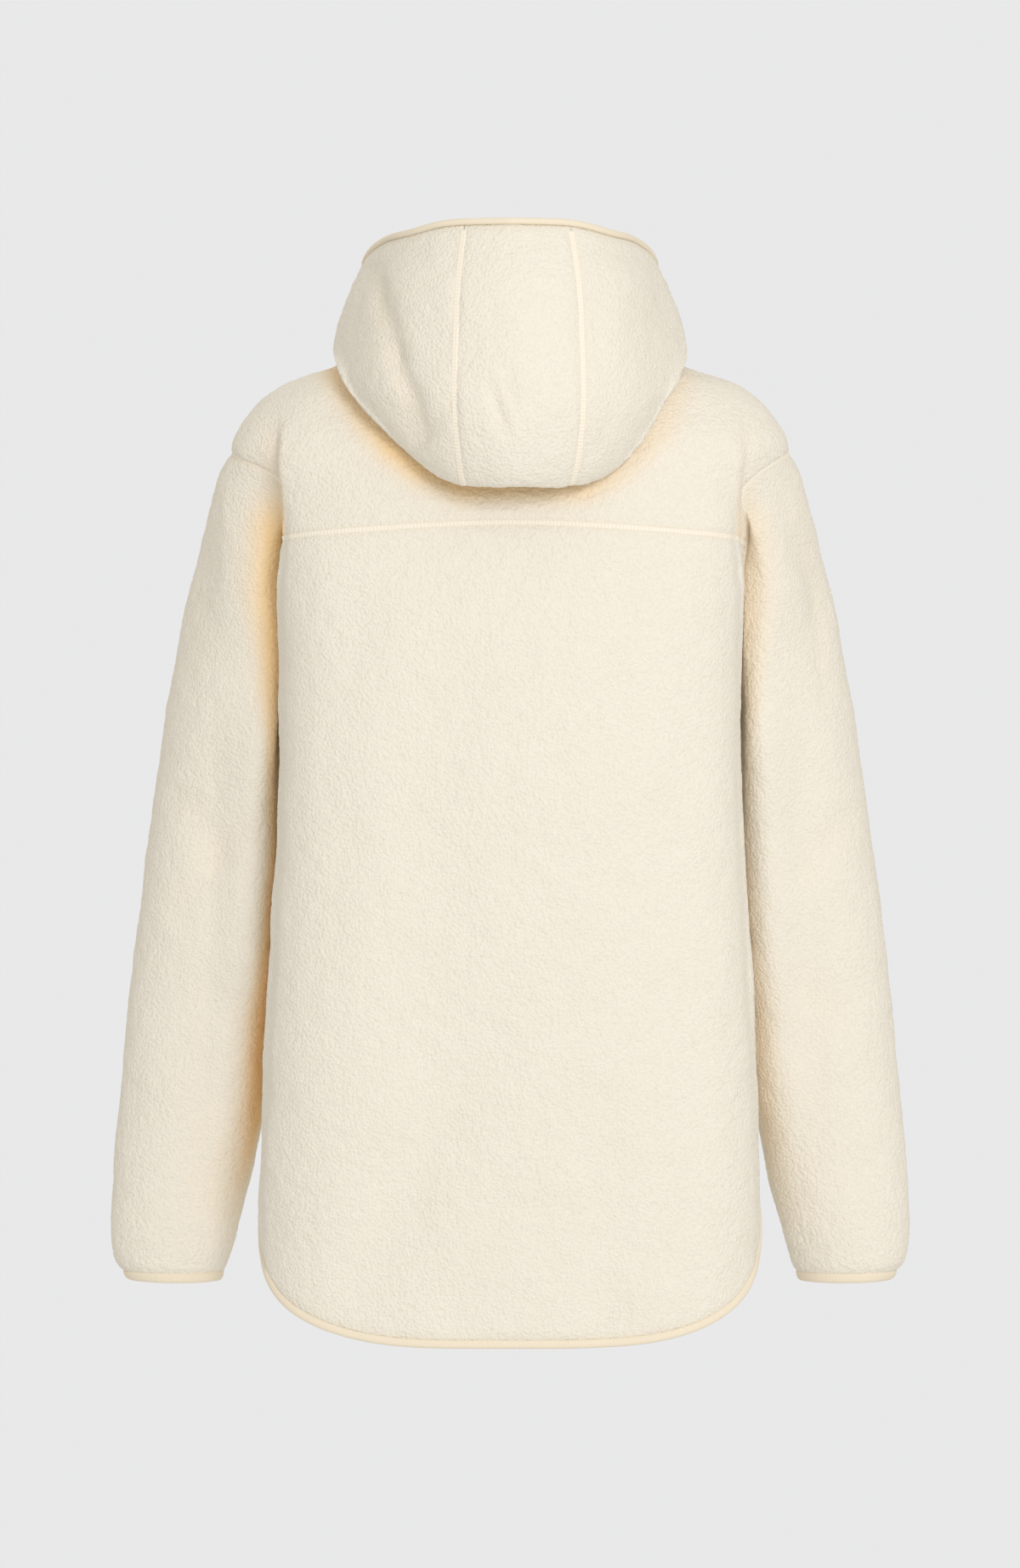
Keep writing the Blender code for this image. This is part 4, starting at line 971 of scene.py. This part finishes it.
def new_material(name, roughness, sheen=0.0, sheen_tint=(1.0, 1.0, 1.0)):
    """A material with its Principled shader, roughness and sheen set on the sockets."""
    material = bpy.data.materials.new(name)
    material.use_nodes = True
    shader = material.node_tree.nodes["Principled BSDF"]
    for socket, value in (("Roughness", roughness), ("Sheen Weight", sheen),
                          ("Sheen Roughness", 0.6), ("Sheen Tint", (*sheen_tint, 1.0)),
                          ("Specular IOR Level", 0.15)):
        shader.inputs[socket].default_value = value
    return material, material.node_tree, shader


def add_bump(tree, shader, height, strength, distance):
    """A Bump node from a height socket to the shader's normal."""
    bump = add_node(tree, "Bump", {"Strength": strength, "Distance": distance,
                                   "Height": height})
    tree.links.new(bump.outputs["Normal"], shader.inputs["Normal"])


def fleece_look():
    """Matte cream pile: two creams mottled, painted shade in tan in the fine lines between the
    curls, and painted tan shade where an attribute marks folds, troughs and the hood's edge.
    """
    material, tree, shader = new_material("pile_fleece", 0.95, 0.12, (1.0, 0.97, 0.90))
    pile = add_node(tree, "Group", node_tree=PILE_GROUP).outputs
    seam, painted_shade = (add_node(tree, "Attribute", attribute_name=name).outputs["Fac"]
                  for name in ("seam", "painted_shade"))
    cream = mix_colour(tree, pile["Mottle"], (0.880, 0.834, 0.740), (0.902, 0.857, 0.776))
    # painted shade: a darker tan in the gaps between the curls
    curl_gap_shaded = mix_colour(tree, pile["Curl gap shade"], cream, (0.874, 0.823, 0.720))
    sewn = mix_colour(tree, maths(tree, "MULTIPLY", seam, 0.28), curl_gap_shaded, (0.78, 0.69, 0.52))
    # painted shade: tan mixed in by the attribute's share, in place of shade in folds and under
    # the hood
    with_painted_shade = mix_colour(tree, maths(tree, "MULTIPLY", painted_shade, 0.92), sewn, (1.0, 0.71, 0.37))
    tree.links.new(with_painted_shade, shader.inputs["Base Color"])
    add_bump(tree, shader, pile["Height"], 0.68, 0.0015)
    return material


def knit_look(name, light, dark, ribs, strength):
    """Smooth knit or woven tape: a fine rib with two close colours."""
    material, tree, shader = new_material(name, 0.8, 0.08)
    rib = add_node(tree, "Group", {"Ribs per metre": ribs}, node_tree=RIB_GROUP)
    tree.links.new(mix_colour(tree, rib.outputs["Height"], dark, light),
                   shader.inputs["Base Color"])
    add_bump(tree, shader, rib.outputs["Height"], strength, 0.0004)
    return material


def hard_look(name, colour, worn, roughness, metallic):
    """Moulded or painted zip parts: fine grain, with lighter scuffs by noise."""
    material, tree, shader = new_material(name, roughness)
    shader.inputs["Metallic"].default_value = metallic
    shader.inputs["Specular IOR Level"].default_value = 0.5
    grain = noise(tree, place_of(tree), 900.0, 3.0)
    tree.links.new(mix_colour(tree, grain, colour, worn), shader.inputs["Base Color"])
    add_bump(tree, shader, grain, 0.15, 0.0002)
    return material


FLEECE_LOOK = fleece_look()
BINDING_LOOK = knit_look("binding_knit", (0.91, 0.83, 0.69), (0.82, 0.72, 0.56), 900.0, 0.35)
THREAD_LOOK = knit_look("seam_thread", (0.925, 0.87, 0.765), (0.885, 0.82, 0.705), 357.0, 0.3)
TAPE_LOOK = knit_look("zip_tape_weave", (0.86, 0.79, 0.65), (0.72, 0.64, 0.50), 1300.0, 0.5)
TEETH_LOOK = hard_look("zip_teeth_plastic", (0.80, 0.73, 0.58), (0.88, 0.82, 0.70), 0.38, 0.0)
METAL_LOOK = hard_look("zip_painted_metal", (0.76, 0.69, 0.54), (0.84, 0.78, 0.66), 0.30, 0.35)
print("materials:", [made.name for made in bpy.data.materials])

# %% [markdown]
# ## The fleece panels
# Each panel is one wall.  The names of its sewn sides say where the pile is pulled down into
# a seam or under the binding.  A sheet's flat size is what the cutter would lay out.

# %% Body, sleeves and hood
MIRROR = np.array([-1.0, 1.0, 1.0])


def on_body(grid):
    """Points and outward directions of a grid of (angle, level)."""
    return (body_point(grid[..., 0], grid[..., 1]), body_normal(grid[..., 0], grid[..., 1]))


EDGES = ("bottom", "top", "left", "right")
points, outward = on_body(back_grid())
cloth("cloth_back_panel", points, outward, EDGES, flat=(0.56, 0.62))
points, outward = on_body(yoke_grid())
cloth("cloth_back_yoke", points, outward, EDGES, flat=(0.52, 0.25))
FRONT, FRONT_OUT = on_body(front_grid())
SLEEVE_RINGS = sleeve_grid()
SLEEVE_OUT = grid_normals(SLEEVE_RINGS, True)
SLEEVE_OUT *= np.sign(np.sum(SLEEVE_OUT * (SLEEVE_RINGS - SLEEVE_RINGS.mean(1, keepdims=True))))
for side, flip in (("left", np.ones(3)), ("right", MIRROR)):
    cloth("cloth_front_" + side, FRONT * flip, FRONT_OUT * flip, ("bottom", "top", "left"),
          flat=(0.30, 0.68))
    cloth("cloth_sleeve_" + side, SLEEVE_RINGS * flip, SLEEVE_OUT * flip, ("bottom", "top"),
          closed=True, flat=(0.48, 0.62))

HOOD_END = float(front_edge_angle(neck_level(178.0)))
GUSSET_LEFT, GUSSET_RIGHT = HOOD_TURN + GUSSET_ANGLE + 1.3, HOOD_TURN - GUSSET_ANGLE
SIDE_WIDE, GUSSET_WIDE = 0.34, 0.09            # how wide the hood's panels are at their widest


def hood_outward(grid):
    """Normals of the hood, turned so that the part behind the face edge faces back."""
    normals = grid_normals(grid, False)
    middle = normals[-grid.shape[0] // 4, grid.shape[1] // 2]
    centre = grid[-grid.shape[0] // 4, grid.shape[1] // 2] * np.array([1.0, 1.0, 0.0])
    return normals if middle @ centre > 0 else -normals


for name, start, end, width, flat in (
        ("cloth_hood_left", HOOD_END, GUSSET_LEFT, SIDE_WIDE, (0.36, 0.40)),
        ("cloth_hood_centre", GUSSET_LEFT, GUSSET_RIGHT, GUSSET_WIDE, (0.12, 0.42)),
        ("cloth_hood_right", GUSSET_RIGHT, -HOOD_END, SIDE_WIDE, (0.36, 0.40))):
    grid = hood_grid(start, end, width)
    cloth(name, grid, hood_outward(grid), EDGES, flat=flat)

# %% [markdown]
# ## Flat seams
# Every join is a flatlock seam: a soft raised band 4 to 6 mm wide with threads laid across
# it like a ladder.  A band is a low closed strip swept along the seam; its crosswise threads
# are small waves in its height, so they catch light from any side.

# %% Seam bands
SEAM_HALF, ARM_HALF, GUSSET_HALF = 0.0020, 0.0029, 0.0026    # half widths of the bands
SEAM_TALL, SEAM_UNDER, THREAD_TALL, THREAD_PITCH = 0.0006, 0.0012, 0.0003, 0.0028
BAND_SECTION = (-1.0, -0.9, -0.62, -0.3, 0.0, 0.3, 0.62, 0.9, 1.0, 0.5, -0.5)
BAND_TOP = 9                                   # this many of them lie on the band's top
SEAM_STEP = 0.0007


def sweep_frame(line, step, closed, *carried):
    """A line read off at even steps: the distances of its new points from its start, its
    direction there, the points, and each carried set of vectors read at the same places."""
    parts = [line, *carried]
    if closed:
        parts = [np.concatenate([part, part[:1]]) for part in parts]
    length = lengths_along(parts[0])
    places = np.linspace(0, length[-1], max(2, int(length[-1] / step)))
    parts = [np.stack([np.interp(places, length, part[:, axis]) for axis in range(3)], -1)
             for part in parts]
    if not closed:
        return places, unit(np.gradient(parts[0], axis=0)), *parts
    places, *parts = [part[:-1] for part in (places, *parts)]
    along = unit(np.roll(parts[0], -1, axis=0) - np.roll(parts[0], 1, axis=0))
    return places, along, *parts


def add_uv(piece, lengths, sides, width):
    """A UV map whose u is the distance along a sweep and v the share round its section."""
    rings = np.repeat(lengths, sides)
    round_it = np.tile(np.arange(sides) / sides * width, len(lengths))
    corners = np.empty(len(piece.data.loops), np.int32)
    piece.data.loops.foreach_get("vertex_index", corners)
    uv = np.stack([rings[corners], round_it[corners]], -1)
    piece.data.uv_layers.new(name="UVMap").data.foreach_set("uv", uv.reshape(-1))


def seam_band(name, line, normals, half=SEAM_HALF, closed=False):
    """Section: height = SEAM_TALL * (1 - u^4) less a middle groove, plus THREAD_TALL times
    a ladder, which is (1 + cos) / 2 of the distance along the band over THREAD_PITCH."""
    line = draped(line, normals) - normals * SEAM_DIP
    places, along, centre, up = sweep_frame(line, SEAM_STEP, closed, normals)
    up = unit(up)
    across = unit(np.cross(along, up))
    u = np.array(BAND_SECTION)
    top = np.arange(len(u)) < BAND_TOP
    dome = np.where(top, SEAM_TALL * (1 - u**4 - 0.5 * np.exp(-(u / 0.22)**2)), -SEAM_UNDER)
    ladder = 0.5 + 0.5 * np.cos(2 * math.pi * places / THREAD_PITCH)
    wave = np.where(top & (np.abs(u) < 0.95), THREAD_TALL, 0.0)
    height = dome[None] + wave[None] * ladder[:, None]
    rings = (centre[:, None] + across[:, None] * (u * half)[None, :, None]
             + up[:, None] * height[..., None])
    count, sides = rings.shape[:2]
    piece = new_piece(name, rings.reshape(-1, 3), tube_faces(count, sides, closed),
                      THREAD_LOOK)
    add_uv(piece, places, sides, 2 * half)
    print(f"{name}: {places[-1]:.3f} m")
    return piece


seam_band("seam_yoke", *on_body(yoke_seam()))
arm_points, arm_normals = on_body(armhole_loop())
arm_normals = unit(arm_normals + SLEEVE_OUT[0])
side_points, side_normals = on_body(side_seam())
shoulder_points, shoulder_normals = on_body(shoulder_seam())
under = SLEEVE_RINGS[:, ARM_FRONT_CELLS]
under_normals = SLEEVE_OUT[:, ARM_FRONT_CELLS]
for side, flip in (("left", np.ones(3)), ("right", MIRROR)):
    seam_band("seam_armhole_" + side, arm_points * flip, arm_normals * flip, ARM_HALF, True)
    seam_band("seam_side_" + side, side_points * flip, side_normals * flip)
    seam_band("seam_shoulder_" + side, shoulder_points * flip, shoulder_normals * flip)
    seam_band("seam_sleeve_" + side, under[6:-6] * flip, under_normals[6:-6] * flip)
neck_angles = np.concatenate([np.linspace(HOOD_END, 90, 90)[:-1], np.linspace(90, -90, 200),
                              np.linspace(-90, -HOOD_END, 90)[1:]])
seam_band("seam_neck", *on_body(neck_seam(neck_angles)))
grid = hood_grid(GUSSET_LEFT, GUSSET_RIGHT, GUSSET_WIDE)
for side, column in (("left", 0), ("right", -1)):
    seam_band("seam_hood_" + side, grid[2:-2, column], hood_outward(grid)[2:-2, column],
              GUSSET_HALF)

# %% [markdown]
# ## Bindings
# The hem, the cuffs and the face edge are wrapped in a smooth elastic binding.  It is a
# rounded bar, a little thicker than the fleece, swept along the cut edge and reaching back
# over it, with a shallow stitched groove near its inner side.

# %% Binding bars
BIND_HALF, BIND_SIDES = 0.0029, 18
BIND_STEP = 0.0016


def binding(name, line, normals, aim, back=0.0022, reach_out=0.0060, closed=False):
    """Section: a superellipse of power 3 from a little behind the edge to a reach past
    it, thinned by a groove where the stitches pull it in."""
    normals = unit(normals)
    line = draped(line, normals) - normals * FLEECE / 2
    places, along, centre, up, hint = sweep_frame(line, BIND_STEP, closed, normals, aim)
    up = unit(up)
    away = unit(np.cross(along, up))
    away *= np.sign(np.sum(away * hint, -1, keepdims=True))
    turn = np.linspace(0, 2 * math.pi, BIND_SIDES, endpoint=False)
    c, s = np.cos(turn), np.sin(turn)
    size = (np.abs(c)**3 + np.abs(s)**3)**(-1 / 3)
    reach = (reach_out - back) / 2 + size * c * (reach_out + back) / 2
    groove = 1 - 0.16 * np.exp(-((reach - 0.0004) / 0.0007)**2)
    thick = size * s * BIND_HALF * groove
    ripple = 1 + 0.05 * soft_noise(centre, 0.006, 21)
    rings = (centre[:, None] + away[:, None] * reach[None, :, None]
             + up[:, None] * (thick[None] * ripple[:, None])[..., None])
    piece = new_piece(name, rings.reshape(-1, 3), tube_faces(len(centre), BIND_SIDES, closed),
                      BINDING_LOOK)
    add_uv(piece, places, BIND_SIDES, 4 * BIND_HALF)
    print(f"{name}: {places[-1]:.3f} m")
    return piece


hem_line, hem_out = (np.concatenate([front[0][:0:-1], back[0], (front[0] * MIRROR)[1:]])
                     for front, back in zip((FRONT, FRONT_OUT), on_body(back_grid())))
hem = binding("trim_hem", hem_line, hem_out, np.array([0.0, 0.0, -1.0]) + 0 * hem_line,
              back=0.0012, reach_out=0.0056)
for side, flip in (("left", np.ones(3)), ("right", MIRROR)):
    binding("trim_cuff_" + side, SLEEVE_RINGS[-1] * flip, SLEEVE_OUT[-1] * flip,
                          (SLEEVE_RINGS[-1] - SLEEVE_RINGS[-2]) * flip, closed=True)
face_angles = np.linspace(HOOD_END, -HOOD_END, 400)
face_grid = hood_point(face_angles, np.linspace(HOOD_TOP - 0.2, HOOD_TOP, 5))
face_out = hood_outward(face_grid)
face = binding("trim_face", face_grid[-1], face_out[-1], face_grid[-1] - face_grid[-2],
               back=-0.0006, reach_out=0.0060)

# %% [markdown]
# ## The zip
# The front closes with a plain moulded zip.  The two tapes and the slider keep the shape of
# their solids; the plain chain becomes two rows of interlocked teeth, each one a small
# eight-sided block, placed by turns left and right along the chain's line.

# %% Zip teeth
TOOTH_PITCH, TOOTH_WIDE, TOOTH_TALL, TOOTH_THICK = 0.0030, 0.0054, 0.0019, 0.0026
TOOTH_SHIFT, CHAIN_BEHIND = 0.0014, 0.0053     # to each side, and behind the front's face


def forward_of(along):
    """The direction square to each step of the chain, out of the front."""
    return np.stack([0 * along[:, 0], -along[:, 2], along[:, 1]], -1)


def chain_line():
    """Middle of the chain: centre front of each level, set back behind the fleece."""
    low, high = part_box("zip_chain")
    levels = np.linspace(float(hem_level(178.0, HEM_FRONT_Z, 180.0)),
                         float(neck_level(180.0)), 300)
    body = body_point(np.full(300, 180.0), levels)
    hood = hood_point(np.array([180.0]), np.linspace(0.05, HOOD_TOP, 60))[:, 0]
    line = np.concatenate([body, hood]) * np.array([0.0, 1.0, 1.0])
    line = line - forward_of(unit(np.gradient(line, axis=0))) * CHAIN_BEHIND
    keep = (line[:, 2] > low[2] + 0.002) & (line[:, 2] < high[2] - 0.001)
    return line[keep]


def zip_teeth():
    """Block corners: an octagon of the tooth's width and height at four depths, smaller at
    the first and last, moved and turned to each place on the line in one array."""
    _, along, centre = sweep_frame(chain_line(), TOOTH_PITCH / 2, False)
    out = forward_of(along)
    side = np.where(np.arange(len(centre)) % 2 == 0, 1.0, -1.0)
    turn = np.linspace(0, 2 * math.pi, 8, endpoint=False) + math.pi / 8
    x = np.clip(np.cos(turn) * 1.2, -1, 1) * TOOTH_WIDE / 2
    t = np.clip(np.sin(turn) * 1.2, -1, 1) * TOOTH_TALL / 2
    corners = []
    for depth, shrink in ((-0.5, 0.8), (-0.3, 1.0), (0.3, 1.0), (0.5, 0.8)):
        sideways = (x * shrink)[None] + (side * TOOTH_SHIFT)[:, None]
        corners.append(np.array([1.0, 0, 0]) * sideways[..., None]
                       + along[:, None] * (t * shrink)[None, :, None]
                       + out[:, None] * depth * TOOTH_THICK + centre[:, None])
    rings = np.stack(corners, axis=1)
    start = np.arange(len(centre))[:, None] * 32
    faces = [face for block in tube_faces(4, 8, False)
             for face in (np.array(block)[None] + start).tolist()]
    piece = new_piece("zip_teeth", rings.reshape(-1, 3), faces, TEETH_LOOK,
                      smooth=False)
    print("zip_teeth:", len(centre), "teeth")
    return piece


teeth = zip_teeth()
for node, look in (("zip_tape_left", TAPE_LOOK), ("zip_tape_right", TAPE_LOOK),
                   ("zip_slider", METAL_LOOK), ("zip_pull", METAL_LOOK)):
    for material_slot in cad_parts[node].material_slots:
        material_slot.material = look

# %% [markdown]
# ## What each piece stands for
# Every new piece takes the place of its solid in the picture, while the solid stays in the
# physics model.

# %% Replace the solids
for name, (piece, area, flat) in pieces.items():
    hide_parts(name.replace("cloth_", ""))
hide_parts("binding_hem")
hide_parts("binding_cuff_left")
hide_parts("binding_cuff_right")
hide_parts("binding_hood")
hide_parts("zip_chain")

# %% [markdown]
# ## Light, floor and camera
# Plain soft studio light: an even pale surround, one large lamp beside the camera on its
# right, and a weaker one that lights the front.  The camera looks along -Y at the back of
# the jacket, from four metres, at the height of its middle.

# %% Studio
CAMERA_AWAY, LOOK_Z = 4.0, -0.325
PIXELS_PER_METRE, FRAME_TALL, SENSOR = 1500.0, 1845.0, 24.0


def add_lamp(name, place, aim, size, power, colour):
    """A square area lamp at a place, turned towards a point."""
    data = bpy.data.lights.new(name, "AREA")
    data.energy, data.size, data.color = power, size, colour
    lamp = bpy.data.objects.new(name, data)
    lamp.location = place
    away = (place[0] - aim[0], place[1] - aim[1], place[2] - aim[2])
    flat_length = math.hypot(away[0], away[1])
    lamp.rotation_euler = (math.atan2(flat_length, away[2]), 0.0,
                           math.atan2(away[1], away[0]) + math.pi / 2)
    bpy.context.scene.collection.objects.link(lamp)
    return lamp


def make_world():
    """An even pale surround: grey to the eye, and a slightly yellow light on the cloth."""
    world = bpy.data.worlds.new("studio")
    bpy.context.scene.world = world
    world.use_nodes = True
    tree = world.node_tree
    background = tree.nodes["Background"]
    seen = add_node(tree, "LightPath").outputs["Is Camera Ray"]
    colour = mix_colour(tree, seen, (0.700, 0.676, 0.628), (0.812, 0.812, 0.814))
    tree.links.new(colour, background.inputs["Color"])


make_world()
bpy.context.scene.view_settings.view_transform = "Standard"
MIDDLE = (0.0, 0.0, -0.33)
add_lamp("key", (-1.05, 3.8, 0.7), MIDDLE, 1.4, 66.0, (1.0, 0.995, 0.99))
add_lamp("front", (0.8, -3.0, 1.4), MIDDLE, 2.2, 30.0, (1.0, 0.99, 0.97))

bpy.ops.mesh.primitive_circle_add(vertices=64, radius=1.6, fill_type="NGON",
                                  location=(0.0, 0.0, -1.45))
floor = bpy.context.object
floor.name = "studio_floor"
floor_look, _, floor_shader = new_material("pale_floor", 0.9)
floor_shader.inputs["Base Color"].default_value = (0.82, 0.82, 0.82, 1.0)
floor.data.materials.append(floor_look)
floor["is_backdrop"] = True

camera_data = bpy.data.cameras.new("camera")
camera_data.sensor_fit = "VERTICAL"
camera_data.sensor_height = SENSOR
camera_data.lens = SENSOR * CAMERA_AWAY * PIXELS_PER_METRE / FRAME_TALL
camera = bpy.data.objects.new("camera", camera_data)
camera.location = (0.0, CAMERA_AWAY, LOOK_Z)
camera.rotation_euler = (math.pi / 2, 0.0, math.pi)
bpy.context.scene.collection.objects.link(camera)
bpy.context.scene.camera = camera
print(f"lens {camera_data.lens:.2f} mm")

# %% [markdown]
# ## Checking the size
# The box of all solids and the box of what is seen are written side by side, so that a
# piece that has grown past its solid is found at once.

# %% Sizes
look_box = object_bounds()
for name, box in (("solids", cad_box), ("looks", look_box)):
    print(name, [[round(float(v), 4) for v in corner] for corner in box])
